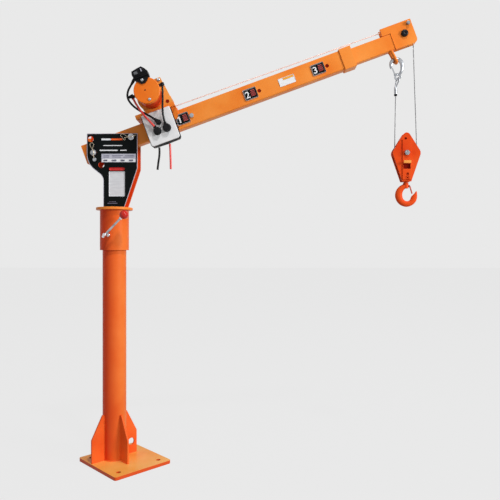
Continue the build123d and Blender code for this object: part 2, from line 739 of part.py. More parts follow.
def sheave(plane, centre, rope_r, rim_r, width, bore_r):
    """Grooved rope wheel standing square to the plane, centred on it."""
    with BuildPart() as wheel:
        with BuildSketch(plane):
            with Locations(centre):
                Circle(rim_r)
                Circle(bore_r, mode=Mode.SUBTRACT)
        extrude(amount=width / 2, both=True)
        middle = plane.from_local_coords(Vector(centre[0], centre[1], 0))
        axis = Axis(middle, plane.z_dir)
        with BuildSketch(Plane(origin=middle, x_dir=plane.x_dir, z_dir=plane.y_dir)):
            groove_r = ROPE_R + 0.3
            with BuildLine():
                Polyline(
                    (rope_r, -groove_r), (rim_r + 1, -width / 2 + 3), (rim_r + 1, width / 2 - 3),
                    (rope_r, groove_r),
                )
                ThreePointArc((rope_r, groove_r), (rope_r - groove_r, 0), (rope_r, -groove_r))
            make_face()
        revolve(axis=axis, mode=Mode.SUBTRACT)
    return wheel


tip_sheave = sheave(boom_side(0), TIP_AXLE, TIP_ROPE_R, TIP_RIM_R, TIP_SHEAVE_W, AXLE_R + PIN_GAP)
tip_sheave.part.label = "tip_sheave"
export_step(tip_sheave.part, "parts/tip_sheave.step")

with BuildPart() as tip_pins:
    for centre, shank_r, cap_r in ((TIP_AXLE, AXLE_R, TIP_CAP_R), (KEEPER, KEEPER_R, KEEPER_HEAD_R)):
        with BuildSketch(boom_side(INNER_W / 2)):
            with Locations(centre):
                Circle(shank_r)
        extrude(amount=INNER_W)
        for cap_y in (INNER_W / 2 + TIP_CAP_DEPTH, -INNER_W / 2):
            with BuildSketch(boom_side(cap_y)):
                with Locations(centre):
                    Circle(cap_r)
            extrude(amount=TIP_CAP_DEPTH)
tip_pins.part.label = "tip_pins"
export_step(tip_pins.part, "parts/tip_pins.step")

# Rope lug: a bent bar under the tube's end, leaning towards the tip
LUG_ROOT = Vector(*boom_point(LUG_TOP_U, TUBE_V - INNER_H / 2))
LUG_DOWN = Vector(
    sin(radians(BOOM_ANGLE + LUG_LEAN)), 0, -cos(radians(BOOM_ANGLE + LUG_LEAN))
)
LUG_PLANE = Plane(origin=LUG_ROOT, x_dir=(0, 1, 0), z_dir=Vector(0, 1, 0).cross(LUG_DOWN))
with BuildPart() as anchor_lug:
    with BuildLine(LUG_PLANE) as bar:
        leg_a = Line((-LUG_HALF_W, -4), (-LUG_HALF_W, LUG_DROP - LUG_HALF_W))
        bend = ThreePointArc(
            (-LUG_HALF_W, LUG_DROP - LUG_HALF_W), (0, LUG_DROP), (LUG_HALF_W, LUG_DROP - LUG_HALF_W)
        )
        leg_b = Line((LUG_HALF_W, LUG_DROP - LUG_HALF_W), (LUG_HALF_W, -4))
    with BuildSketch(Plane(origin=bar.line @ 0, z_dir=bar.line % 0)):
        Circle(LUG_BAR_R)
    sweep()
    split(bisect_by=Plane(origin=LUG_ROOT, z_dir=boom_section(0).y_dir * -1), keep=Keep.TOP)
anchor_lug.part.label = "anchor_lug"
export_step(anchor_lug.part, "parts/anchor_lug.step")


def rope_length(start, end):
    """Straight stretch of rope between two points."""
    with BuildPart() as stretch:
        with BuildSketch(Plane(origin=start, z_dir=end - start)):
            Circle(ROPE_R)
        extrude(amount=(end - start).length)
    return stretch


def rope_tangent(first, first_r, second, second_r, crossed):
    """Ends of the straight rope that leaves one wheel's rope circle and meets another's."""
    across = (second[0] - first[0], second[1] - first[1])
    offset_r = -(first_r + second_r) if crossed else first_r - second_r
    turn = acos(offset_r / hypot(*across))
    normal_angle = atan2(across[1], across[0]) + turn
    normal = (cos(normal_angle), sin(normal_angle))
    near_sign = -1 if crossed else 1
    near = (first[0] + near_sign * first_r * normal[0], first[1] + near_sign * first_r * normal[1])
    far = (second[0] + second_r * normal[0], second[1] + second_r * normal[1])
    return near, far, degrees(normal_angle)


# Rope over the boom, over the tip sheave and down to the block
TIP_CENTRE = boom_point(*TIP_AXLE)
RUN_NEAR, RUN_FAR, RUN_ANGLE = rope_tangent(
    (DRUM_U, DRUM_V), DRUM_ROPE_R, TIP_AXLE, TIP_ROPE_R, crossed=True
)
rope_run = rope_length(Vector(*boom_point(*RUN_NEAR)), Vector(*boom_point(*RUN_FAR)))
rope_run.part.label = "rope_run"
export_step(rope_run.part, "parts/rope_run.step")

FALL_FAR, FALL_NEAR, FALL_ANGLE = rope_tangent(
    (TIP_CENTRE[0], TIP_CENTRE[2]), TIP_ROPE_R, (BLOCK_X, BLOCK_SHEAVE_Z), BLOCK_ROPE_R,
    crossed=False,
)
with BuildPart() as live_fall:
    with BuildLine(upright(0)) as lead:
        CenterArc((TIP_CENTRE[0], TIP_CENTRE[2]), TIP_ROPE_R, FALL_ANGLE + LEAD_ARC, -LEAD_ARC)
        Line(FALL_FAR, FALL_NEAR)
    with BuildSketch(Plane(origin=lead.line @ 0, z_dir=lead.line % 0)):
        Circle(ROPE_R)
    sweep()
live_fall.part.label = "live_fall"
export_step(live_fall.part, "parts/live_fall.step")

with BuildPart() as tip_rope:
    with BuildLine(upright(0)) as wrap:
        CenterArc(
            (TIP_CENTRE[0], TIP_CENTRE[2]), TIP_ROPE_R, RUN_ANGLE + BOOM_ANGLE,
            FALL_ANGLE + LEAD_ARC - RUN_ANGLE - BOOM_ANGLE,
        )
    with BuildSketch(Plane(origin=wrap.line @ 0, z_dir=wrap.line % 0)):
        Circle(ROPE_R)
    sweep()
tip_rope.part.label = "tip_rope"
export_step(tip_rope.part, "parts/tip_rope.step")

DEAD_BOTTOM, DEAD_TOP, DEAD_ANGLE = rope_tangent(
    (BLOCK_X, BLOCK_SHEAVE_Z), BLOCK_ROPE_R, (FERRULE_X, FERRULE_BOTTOM_Z), 0, crossed=False
)
with BuildPart() as dead_fall:
    with BuildLine(upright(0)) as fall:
        Line(DEAD_TOP, DEAD_BOTTOM)
        CenterArc(
            (BLOCK_X, BLOCK_SHEAVE_Z), BLOCK_ROPE_R, DEAD_ANGLE, 360 + FALL_ANGLE - DEAD_ANGLE
        )
    with BuildSketch(Plane(origin=fall.line @ 0, z_dir=fall.line % 0)):
        Circle(ROPE_R)
    sweep()
dead_fall.part.label = "dead_fall"
export_step(dead_fall.part, "parts/dead_fall.step")


def hook_sections(centre, stations):
    """Oval sections round a hook's bowl: angle, radius of the centreline, thickness and depth."""
    sections = []
    for angle, radius, thick, depth in stations:
        out = Vector(cos(radians(angle)), 0, sin(radians(angle)))
        along = Vector(-sin(radians(angle)), 0, cos(radians(angle)))
        origin = Vector(centre[0], 0, centre[1]) + out * radius
        with BuildSketch(Plane(origin=origin, x_dir=out, z_dir=along)) as section:
            Ellipse(thick / 2, depth / 2)
        sections.append(section.sketch)
    return sections



def latch_body(pivot, end, eye_r, pin_r, half_w, wall, thick, offset_v):
    """Latch: two eyes on a pin beside the hook's ear, joined by the plate that shuts the bowl."""
    turn = degrees(atan2(end[1] - pivot[1], end[0] - pivot[0]))
    length = hypot(end[1] - pivot[1], end[0] - pivot[0])
    ear_gap = eye_r + 1.6
    with BuildPart() as latch:
        with BuildSketch(upright(half_w)):
            with Locations(pivot):
                Circle(pin_r)
        extrude(amount=2 * half_w)
        for eye_y in (half_w, -half_w + wall):
            with BuildSketch(upright(eye_y)):
                with Locations(pivot):
                    Circle(eye_r)
                with Locations(Location((*pivot, 0), (0, 0, 1), turn)):
                    with Locations(((ear_gap + 2) / 2, offset_v)):
                        Rectangle(ear_gap + 2, thick)
            extrude(amount=wall)
        with BuildSketch(upright(half_w)):
            with Locations(Location((*pivot, 0), (0, 0, 1), turn)):
                with Locations(((length + ear_gap) / 2, offset_v)):
                    Rectangle(length - ear_gap, thick)
        extrude(amount=2 * half_w)
    return latch


# Load hook with its shank, nut and latch ear
LATCH_PIVOT = (1452, 1352)
LATCH_END = (1463, 1315)
LATCH_EAR_R = 4.6
LATCH_EAR_HALF_W = 4
LATCH_PIN_R = 1.8
LOAD_HOOK_STATIONS = [
    (92, 48, 22, 22), (118, 44.5, 27, 24), (150, 41, 33, 25), (180, 39.5, 35, 25),
    (215, 39.5, 33, 24), (245, 40.5, 30, 23), (270, 41, 28, 22), (300, 40, 27, 20),
    (330, 37.5, 30, 18), (355, 37.5, 27, 16), (372, 43, 17, 13), (384, 49.5, 8, 8),
]
with BuildPart() as load_hook:
    loft(hook_sections(HOOK_BOWL, LOAD_HOOK_STATIONS))
    with BuildSketch(level(1342)):
        with Locations((BLOCK_X, 0)):
            Circle(13)
    extrude(amount=27)
    with BuildSketch(level(1360)):
        with Locations((BLOCK_X, 0)):
            Circle(SHANK_R)
    extrude(amount=62)
    with BuildSketch(level(1412)):
        with Locations((BLOCK_X, 0)):
            RegularPolygon(12.5, 6)
    extrude(amount=12)
    with BuildSketch(upright(LATCH_EAR_HALF_W)):
        Polygon(
            (BLOCK_X, 1346), (LATCH_PIVOT[0], LATCH_PIVOT[1] - LATCH_EAR_R),
            (LATCH_PIVOT[0], LATCH_PIVOT[1] + LATCH_EAR_R), (BLOCK_X, 1366), align=None,
        )
        with Locations(LATCH_PIVOT):
            Circle(LATCH_EAR_R)
            Circle(LATCH_PIN_R + PIN_GAP, mode=Mode.SUBTRACT)
    extrude(amount=2 * LATCH_EAR_HALF_W)
load_hook.part.label = "load_hook"
export_step(load_hook.part, "parts/load_hook.step")

hook_latch = latch_body(LATCH_PIVOT, LATCH_END, 4, LATCH_PIN_R, 6.8, 2.2, 2.5, 1.5)
hook_latch.part.label = "hook_latch"
export_step(hook_latch.part, "parts/hook_latch.step")

# Block: two cheeks with a strap on each, sheave, bolt and crosshead
with BuildPart() as block_cheeks:
    for cheek_y in (BLOCK_GAP / 2 + CHEEK_THICK, -BLOCK_GAP / 2):
        with BuildSketch(upright(cheek_y)) as cheek:
            Polygon(
                (BLOCK_X - CHEEK_BOTTOM_HALF_W, CHEEK_BOTTOM_Z),
                (BLOCK_X + CHEEK_BOTTOM_HALF_W, CHEEK_BOTTOM_Z),
                (BLOCK_X + CHEEK_HALF_W, BLOCK_SHEAVE_Z + 3), (BLOCK_X, CHEEK_APEX_Z),
                (BLOCK_X - CHEEK_HALF_W, BLOCK_SHEAVE_Z + 3), align=None,
            )
            fillet(cheek.vertices().group_by(Axis.Y)[1], radius=30)
            fillet(cheek.vertices().sort_by(Axis.Y)[-1], radius=18)
            with Locations(CHEEK_HOLE):
                Circle(6, mode=Mode.SUBTRACT)
        extrude(amount=CHEEK_THICK)
    strap_y = BLOCK_GAP / 2 + CHEEK_THICK + STRAP_THICK
    for outer_y in (strap_y, -strap_y + STRAP_THICK):
        with BuildSketch(upright(outer_y)):
            with Locations((STRAP_X, (STRAP_BOTTOM_Z + STRAP_TOP_Z) / 2)):
                Rectangle(2 * STRAP_HALF_W, STRAP_TOP_Z - STRAP_BOTTOM_Z)
            with Locations((BLOCK_X + 3, 1410), (BLOCK_X + 3, 1392)):
                Circle(4, mode=Mode.SUBTRACT)
        extrude(amount=STRAP_THICK)
    with BuildSketch(upright(strap_y)):
        with Locations((BLOCK_X, BLOCK_SHEAVE_Z)):
            Circle(BLOCK_BOLT_R + 0.1)
        with Locations((STRAP_X + 0.5, (WINDOW_TOP_Z + WINDOW_BOTTOM_Z) / 2)):
            Rectangle(2 * WINDOW_HALF_W, WINDOW_TOP_Z - WINDOW_BOTTOM_Z)
    extrude(amount=2 * strap_y, mode=Mode.SUBTRACT)
    with BuildSketch(Plane.YZ.offset(STRAP_X + 0.5 - WINDOW_HALF_W)):
        for side in (1, -1):
            Polygon(
                (side * (strap_y - 1), WINDOW_TOP_Z), (side * (strap_y - 1), WINDOW_TOP_Z + 6),
                (side * (strap_y + TAB_REACH), TAB_TOP_Z),
                (side * (strap_y + TAB_REACH), TAB_TOP_Z - 5), align=None,
            )
    extrude(amount=2 * WINDOW_HALF_W)
block_cheeks.part.label = "block_cheeks"
export_step(block_cheeks.part, "parts/block_cheeks.step")

block_sheave = sheave(
    upright(0), (BLOCK_X, BLOCK_SHEAVE_Z), BLOCK_ROPE_R, BLOCK_RIM_R, BLOCK_SHEAVE_W,
    BLOCK_BOLT_R + PIN_GAP,
)
block_sheave.part.label = "block_sheave"
export_step(block_sheave.part, "parts/block_sheave.step")

with BuildPart() as block_pins:
    bolt_y = BLOCK_GAP / 2 + CHEEK_THICK + STRAP_THICK
    with BuildSketch(upright(bolt_y + 8)):
        with Locations((BLOCK_X, BLOCK_SHEAVE_Z)):
            Circle(BLOCK_BOLT_R)
    extrude(amount=2 * bolt_y + 16)
    for head_y in (bolt_y + 8, -bolt_y):
        with BuildSketch(upright(head_y)):
            with Locations((BLOCK_X, BLOCK_SHEAVE_Z)):
                RegularPolygon(13, 6)
        extrude(amount=8)
    with BuildSketch(level(1386)):
        with Locations((BLOCK_X, 0)):
            Rectangle(44, BLOCK_GAP - 0.2)
        with Locations((BLOCK_X, 0)):
            Circle(SHANK_R + PIN_GAP, mode=Mode.SUBTRACT)
    extrude(amount=24)
block_pins.part.label = "block_pins"
export_step(block_pins.part, "parts/block_pins.step")

# Anchor hook over the lug, its latch, and the rope's eye with its ferrule
EYE_R = 16
EYE_HOLE_R = 9
EYE_HALF_W = 5
ANCHOR_LATCH_PIVOT = (1380, 1900)
ANCHOR_LATCH_END = (1368, 1931)
ANCHOR_STATIONS = [
    (-84, 52, 14, 12), (-62, 42, 16, 13), (-35, 32, 18, 14), (-5, 27.5, 19, 14), (30, 27, 20, 15),
    (65, 27.5, 21, 15), (100, 28, 21, 15), (140, 27.5, 20, 14), (175, 27, 18, 13),
    (200, 28.5, 14, 11), (214, 31, 9, 8),
]
with BuildPart() as anchor_hook:
    loft(hook_sections(ANCHOR_BOWL, ANCHOR_STATIONS))
    with BuildSketch(upright(EYE_HALF_W)):
        with Locations(ANCHOR_EYE):
            Circle(EYE_R)
    extrude(amount=2 * EYE_HALF_W)
    with BuildSketch(upright(EYE_HALF_W - 0.2)):
        Polygon(
            (ANCHOR_EYE[0], 1893), (ANCHOR_LATCH_PIVOT[0], ANCHOR_LATCH_PIVOT[1] - 4),
            (ANCHOR_LATCH_PIVOT[0], ANCHOR_LATCH_PIVOT[1] + 4), (ANCHOR_EYE[0], 1906), align=None,
        )
        with Locations(ANCHOR_LATCH_PIVOT):
            Circle(4.2)
            Circle(1.5 + PIN_GAP, mode=Mode.SUBTRACT)
    extrude(amount=2 * EYE_HALF_W - 0.4)
    with BuildSketch(upright(EYE_HALF_W + 5)):
        with Locations(ANCHOR_EYE):
            Circle(EYE_HOLE_R)
    extrude(amount=2 * EYE_HALF_W + 10, mode=Mode.SUBTRACT)
anchor_hook.part.label = "anchor_hook"
export_step(anchor_hook.part, "parts/anchor_hook.step")

anchor_latch = latch_body(ANCHOR_LATCH_PIVOT, ANCHOR_LATCH_END, 3.6, 1.5, 7.2, 1.8, 2, 0)
anchor_latch.part.label = "anchor_latch"
export_step(anchor_latch.part, "parts/anchor_latch.step")

# Rope loop through the hook's eye, turned 20 degrees off the hook's own plane
LOOP_R = 12.5
LOOP_ROPE_R = 3
LOOP_TOP = Vector(ANCHOR_EYE[0], 0, 1872.4)
LOOP_FOOT = Vector(FERRULE_X, 0, FERRULE_TOP_Z)
LOOP_UP = (LOOP_TOP - LOOP_FOOT).normalized()
LOOP_SIDE = Vector(0, 1, 0) * cos(radians(20)) + LOOP_UP.cross(Vector(0, 1, 0)) * sin(radians(20))
LOOP_PLANE = Plane(origin=LOOP_TOP, x_dir=LOOP_SIDE, z_dir=LOOP_SIDE.cross(LOOP_UP))
leg_foot = (3.2, -(LOOP_TOP - LOOP_FOOT).length - 2)
leg_turn = degrees(acos(LOOP_R / hypot(*leg_foot)) + atan2(leg_foot[1], leg_foot[0]))
leg_top = (LOOP_R * cos(radians(leg_turn)), LOOP_R * sin(radians(leg_turn)))
with BuildPart() as rope_eye:
    with BuildLine(LOOP_PLANE) as loop:
        Line(leg_foot, leg_top)
        CenterArc((0, 0), LOOP_R, leg_turn, 180 - 2 * leg_turn)
        Line((-leg_top[0], leg_top[1]), (-leg_foot[0], leg_foot[1]))
    with BuildSketch(Plane(origin=loop.line @ 0, z_dir=loop.line % 0)):
        Circle(LOOP_ROPE_R)
    sweep()
    with BuildSketch(level(FERRULE_BOTTOM_Z + 0.1)):
        with Locations((FERRULE_X, 0)):
            Circle(7)
    extrude(amount=FERRULE_TOP_Z - FERRULE_BOTTOM_Z)
rope_eye.part.label = "rope_eye"
export_step(rope_eye.part, "parts/rope_eye.step")
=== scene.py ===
"""Slewing davit crane with a telescopic boom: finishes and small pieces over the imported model."""

import json
import logging
from dataclasses import dataclass, field
from enum import Enum
from math import ceil, cos, hypot, pi, radians, sin, tau

import bmesh
import bpy
from mathutils import Matrix, Vector


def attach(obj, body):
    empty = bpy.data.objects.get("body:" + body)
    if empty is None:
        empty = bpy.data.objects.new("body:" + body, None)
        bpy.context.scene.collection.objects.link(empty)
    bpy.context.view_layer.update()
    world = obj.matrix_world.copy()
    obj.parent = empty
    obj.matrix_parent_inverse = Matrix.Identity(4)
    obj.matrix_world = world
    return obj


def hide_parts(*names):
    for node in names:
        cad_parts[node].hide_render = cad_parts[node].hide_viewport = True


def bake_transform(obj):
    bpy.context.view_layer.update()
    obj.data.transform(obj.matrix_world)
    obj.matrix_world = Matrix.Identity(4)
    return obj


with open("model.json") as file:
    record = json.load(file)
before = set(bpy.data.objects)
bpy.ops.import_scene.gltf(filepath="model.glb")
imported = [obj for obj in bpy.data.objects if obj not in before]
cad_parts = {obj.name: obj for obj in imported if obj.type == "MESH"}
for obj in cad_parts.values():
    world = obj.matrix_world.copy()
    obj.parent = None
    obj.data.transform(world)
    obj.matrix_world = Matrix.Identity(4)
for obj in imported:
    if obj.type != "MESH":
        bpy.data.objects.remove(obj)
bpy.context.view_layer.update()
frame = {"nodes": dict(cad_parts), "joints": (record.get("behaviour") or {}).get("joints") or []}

log = logging.getLogger("crane")
logging.basicConfig(level=logging.INFO, format="%(name)s: %(message)s")

Point = tuple[float, float, float]
Colour = tuple[float, float, float]
Flat = tuple[float, float]

MM = 0.001
FRONT = Vector((0, -1, 0))
UP = Vector((0, 0, 1))
HANDS = ((-1, "front"), (1, "back"))
BOOM_TILT = radians(20.0)
BOOM_AXIS_Z = 1.556
BOOM_FRAME = Matrix.Translation((0, 0, BOOM_AXIS_Z)) @ Matrix.Rotation(-BOOM_TILT, 4, "Y")
RIPPLE_SIZE = 0.0055
RIPPLE_DEPTH = 0.0011
BEAD_STEP = 0.003


def mm(x: float, y: float, z: float) -> Vector:
    """Return a point given in millimetres."""
    return Vector((x, y, z)) * MM


def on_boom(u: float, y: float, v: float) -> Vector:
    """Return the point at u along, y across and v square to the boom, in millimetres."""
    return BOOM_FRAME @ mm(u, y, v)


def srgb(*levels: int) -> Colour:
    """Return the linear colour of red, green and blue levels from 0 to 255."""
    shares = [level / 255 for level in levels]
    return tuple(s / 12.92 if s <= 0.04045 else ((s + 0.055) / 1.055) ** 2.4 for s in shares)


class Body(Enum):
    """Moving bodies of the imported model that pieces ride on."""

    PEDESTAL = "pedestal"
    HEAD = "head"
    LEVER = "clamp_lever"
    BOOM = "boom"
    EXTENSION = "boom_extension"
    FALL = "hook_fall"
    LIVE = "live_rope"
    HOOK_LATCH = "hook_latch"


class Grain(Enum):
    """How the fine pattern of a metal runs: the noise's scale along each axis."""

    EVEN = (1.0, 1.0, 1.0)
    BRUSHED = (1.0, 1.0, 14.0)


# Finishes


def add_node(tree: bpy.types.NodeTree, kind: str, **values: object) -> bpy.types.Node:
    """Add a node and set its sockets or properties.

    Args:
        tree: The node tree.
        kind: Type name of the node.
        **values: Socket names (underscores for spaces) or property names, with values.

    Returns:
        The node.
    """
    node = tree.nodes.new(kind)
    for key, value in values.items():
        socket = key.replace("_", " ")
        if socket in node.inputs:
            node.inputs[socket].default_value = value
        else:
            setattr(node, key, value)
    return node


class NodeSheet:
    """Node tree of one material, with short calls to add and join nodes."""

    def __init__(self, name: str, **sockets: float) -> None:
        """Start a tree with an output and a principled shader.

        Args:
            name: Name of the material.
            **sockets: Values of the shader's sockets.
        """
        self.material = bpy.data.materials.new(name)
        self.material.use_nodes = True
        self.tree = self.material.node_tree
        self.tree.nodes.clear()
        self.shader = add_node(self.tree, "ShaderNodeBsdfPrincipled", **sockets)
        output = add_node(self.tree, "ShaderNodeOutputMaterial")
        self.join(self.shader, "BSDF", output, "Surface")
        self.place = add_node(self.tree, "ShaderNodeTexCoord")

    def join(self, source: bpy.types.Node, out: str, target: bpy.types.Node, into: str) -> None:
        """Link an output of one node to an input of another."""
        self.tree.links.new(source.outputs[out], target.inputs[into])

    def noise(self, scale: float, detail: float, stretch: Point = (1.0, 1.0, 1.0)) -> bpy.types.Node:
        """Add noise on object coordinates.

        Args:
            scale: Noise scale, per metre.
            detail: Octaves of detail.
            stretch: Scale of each axis before the noise, for a grain that runs one way.

        Returns:
            The noise node.
        """
        noise = add_node(self.tree, "ShaderNodeTexNoise", Scale=scale, Detail=detail)
        if stretch == (1.0, 1.0, 1.0):
            self.join(self.place, "Object", noise, "Vector")
            return noise
        mapping = add_node(self.tree, "ShaderNodeMapping", Scale=stretch)
        self.join(self.place, "Object", mapping, "Vector")
        self.join(mapping, "Vector", noise, "Vector")
        return noise

    def ramp(self, noise: bpy.types.Node, *stops: tuple[float, Colour]) -> bpy.types.Node:
        """Add a colour ramp fed by noise.

        Args:
            noise: The noise.
            *stops: Positions with their linear colours, at least two.

        Returns:
            The ramp node.
        """
        ramp = add_node(self.tree, "ShaderNodeValToRGB")
        elements = ramp.color_ramp.elements
        elements[0].position, elements[0].color = stops[0][0], (*stops[0][1], 1)
        elements[1].position, elements[1].color = stops[-1][0], (*stops[-1][1], 1)
        for position, colour in stops[1:-1]:
            elements.new(position).color = (*colour, 1)
        self.join(noise, "Fac", ramp, "Fac")
        return ramp

    def surface(
        self, tone: bpy.types.Node, wear: bpy.types.Node, rough: Flat, grain: bpy.types.Node,
        relief: float, edge: float,
    ) -> bpy.types.Material:
        """Join colour, roughness, relief and rounded edges to the shader.

        Args:
            tone: Node that gives the colour.
            wear: Noise that drives the roughness.
            rough: Least and most roughness.
            grain: Noise that gives the relief.
            relief: Depth of the relief, in metres.
            edge: Radius at which sharp edges look rounded, in metres, or 0.

        Returns:
            The material.
        """
        self.join(tone, "Color", self.shader, "Base Color")
        span = add_node(
            self.tree, "ShaderNodeMapRange", From_Min=0.3, From_Max=0.7, To_Min=rough[0],
            To_Max=rough[1],
        )
        self.join(wear, "Fac", span, "Value")
        self.join(span, "Result", self.shader, "Roughness")
        bump = add_node(self.tree, "ShaderNodeBump", Strength=1.0, Distance=relief)
        self.join(grain, "Fac", bump, "Height")
        if edge:
            bevel = add_node(self.tree, "ShaderNodeBevel", Radius=edge, samples=4)
            self.join(bevel, "Normal", bump, "Normal")
        self.join(bump, "Normal", self.shader, "Normal")
        return self.material


@dataclass(frozen=True)
class PowderCoat:
    """Powder coat with orange peel, a slow drift of tone and, where given, painted shade that darkens
    one side.
    """

    name: str
    colour: Colour
    deep: Colour
    pale: Colour
    slot: str = "orange_paint"
    roughness: float = 0.36
    coat: float = 0.05
    gloss: float = 0.1
    peel: float = 0.00005
    # Painted shade: the far tone is painted on one side, reached along an axis between two
    # coordinates in metres.
    far: Colour | None = None
    shade_axis: str = "Y"
    shade_from: Flat = (-0.145, -0.13)

    def material(self) -> bpy.types.Material:
        """Build the material.

        Returns:
            The material.
        """
        sheet = NodeSheet(
            self.name, Specular_IOR_Level=self.gloss, Coat_Weight=self.coat, Coat_Roughness=0.12
        )
        drift = sheet.noise(5.5, 4.0)
        tone = sheet.ramp(drift, (0.32, self.deep), (0.5, self.colour), (0.72, self.pale))
        # Painted shade on one side, where a far tone is given.
        if self.far is not None:
            tone = self.paint_shade(sheet, tone)
        rough = (self.roughness - 0.06, self.roughness + 0.08)
        wiped, peel = sheet.noise(38.0, 5.0), sheet.noise(620.0, 2.0)
        return sheet.surface(tone, wiped, rough, peel, self.peel, 0.0012)

    def paint_shade(self, sheet: NodeSheet, tone: bpy.types.Node) -> bpy.types.Node:
        """Paint shade: pass from the paint's tone to the darker far tone along one axis, so that one
        side looks shaded.

        Args:
            sheet: The node tree.
            tone: The paint's tone.

        Returns:
            The node that gives the mixed tone.
        """
        axes = add_node(sheet.tree, "ShaderNodeSeparateXYZ")
        sheet.join(sheet.place, "Object", axes, "Vector")
        start, end = self.shade_from
        share = add_node(sheet.tree, "ShaderNodeMapRange", From_Min=start, From_Max=end)
        sheet.join(axes, self.shade_axis, share, "Value")
        mix = add_node(sheet.tree, "ShaderNodeMixRGB", Color2=(*self.far, 1))
        sheet.join(share, "Result", mix, "Fac")
        sheet.join(tone, "Color", mix, "Color1")
        return mix


@dataclass(frozen=True)
class Metal:
    """Bare, plated or polished metal."""

    name: str
    colour: Colour
    dull: Colour
    roughness: float
    slot: str = "zinc"
    grain: Grain = Grain.EVEN
    relief: float = 0.00002

    def material(self) -> bpy.types.Material:
        """Build the material.

        Returns:
            The material.
        """
        sheet = NodeSheet(self.name, Metallic=1.0)
        tone = sheet.ramp(sheet.noise(55.0, 4.0), (0.3, self.dull), (0.62, self.colour))
        fine = sheet.noise(420.0, 3.0, self.grain.value)
        rough = (self.roughness * 0.75, self.roughness * 1.3)
        return sheet.surface(tone, fine, rough, fine, self.relief, 0.0006)


@dataclass(frozen=True)
class Polymer:
    """Rubber, cable jacket or moulded plastic."""

    name: str
    colour: Colour
    worn: Colour
    roughness: float
    slot: str = "black_plastic"
    relief: float = 0.00006
    gloss: float = 0.5

    def material(self) -> bpy.types.Material:
        """Build the material.

        Returns:
            The material.
        """
        sheet = NodeSheet(self.name, Specular_IOR_Level=self.gloss)
        tone = sheet.ramp(sheet.noise(70.0, 5.0), (0.35, self.colour), (0.75, self.worn))
        grain = sheet.noise(900.0, 2.0)
        rough = (self.roughness - 0.07, self.roughness + 0.07)
        return sheet.surface(tone, grain, rough, grain, self.relief, 0.0008)


@dataclass(frozen=True)
class PrintedFoil:
    """Printed sticker foil under a clear film, with faint streaks."""

    name: str
    colour: Colour
    streak: Colour
    slot: str = "box_silver"
    roughness: float = 0.35
    metallic: float = 0.0
    gloss: float = 0.5

    def material(self) -> bpy.types.Material:
        """Build the material.

        Returns:
            The material.
        """
        sheet = NodeSheet(self.name, Metallic=self.metallic, Specular_IOR_Level=self.gloss)
        streaks = sheet.noise(26.0, 3.0, (1.0, 1.0, 5.0))
        tone = sheet.ramp(streaks, (0.35, self.colour), (0.75, self.streak))
        scuff = sheet.noise(240.0, 4.0)
        rough = (self.roughness - 0.05, self.roughness + 0.1)
        return sheet.surface(tone, scuff, rough, scuff, 0.00001, 0.0)


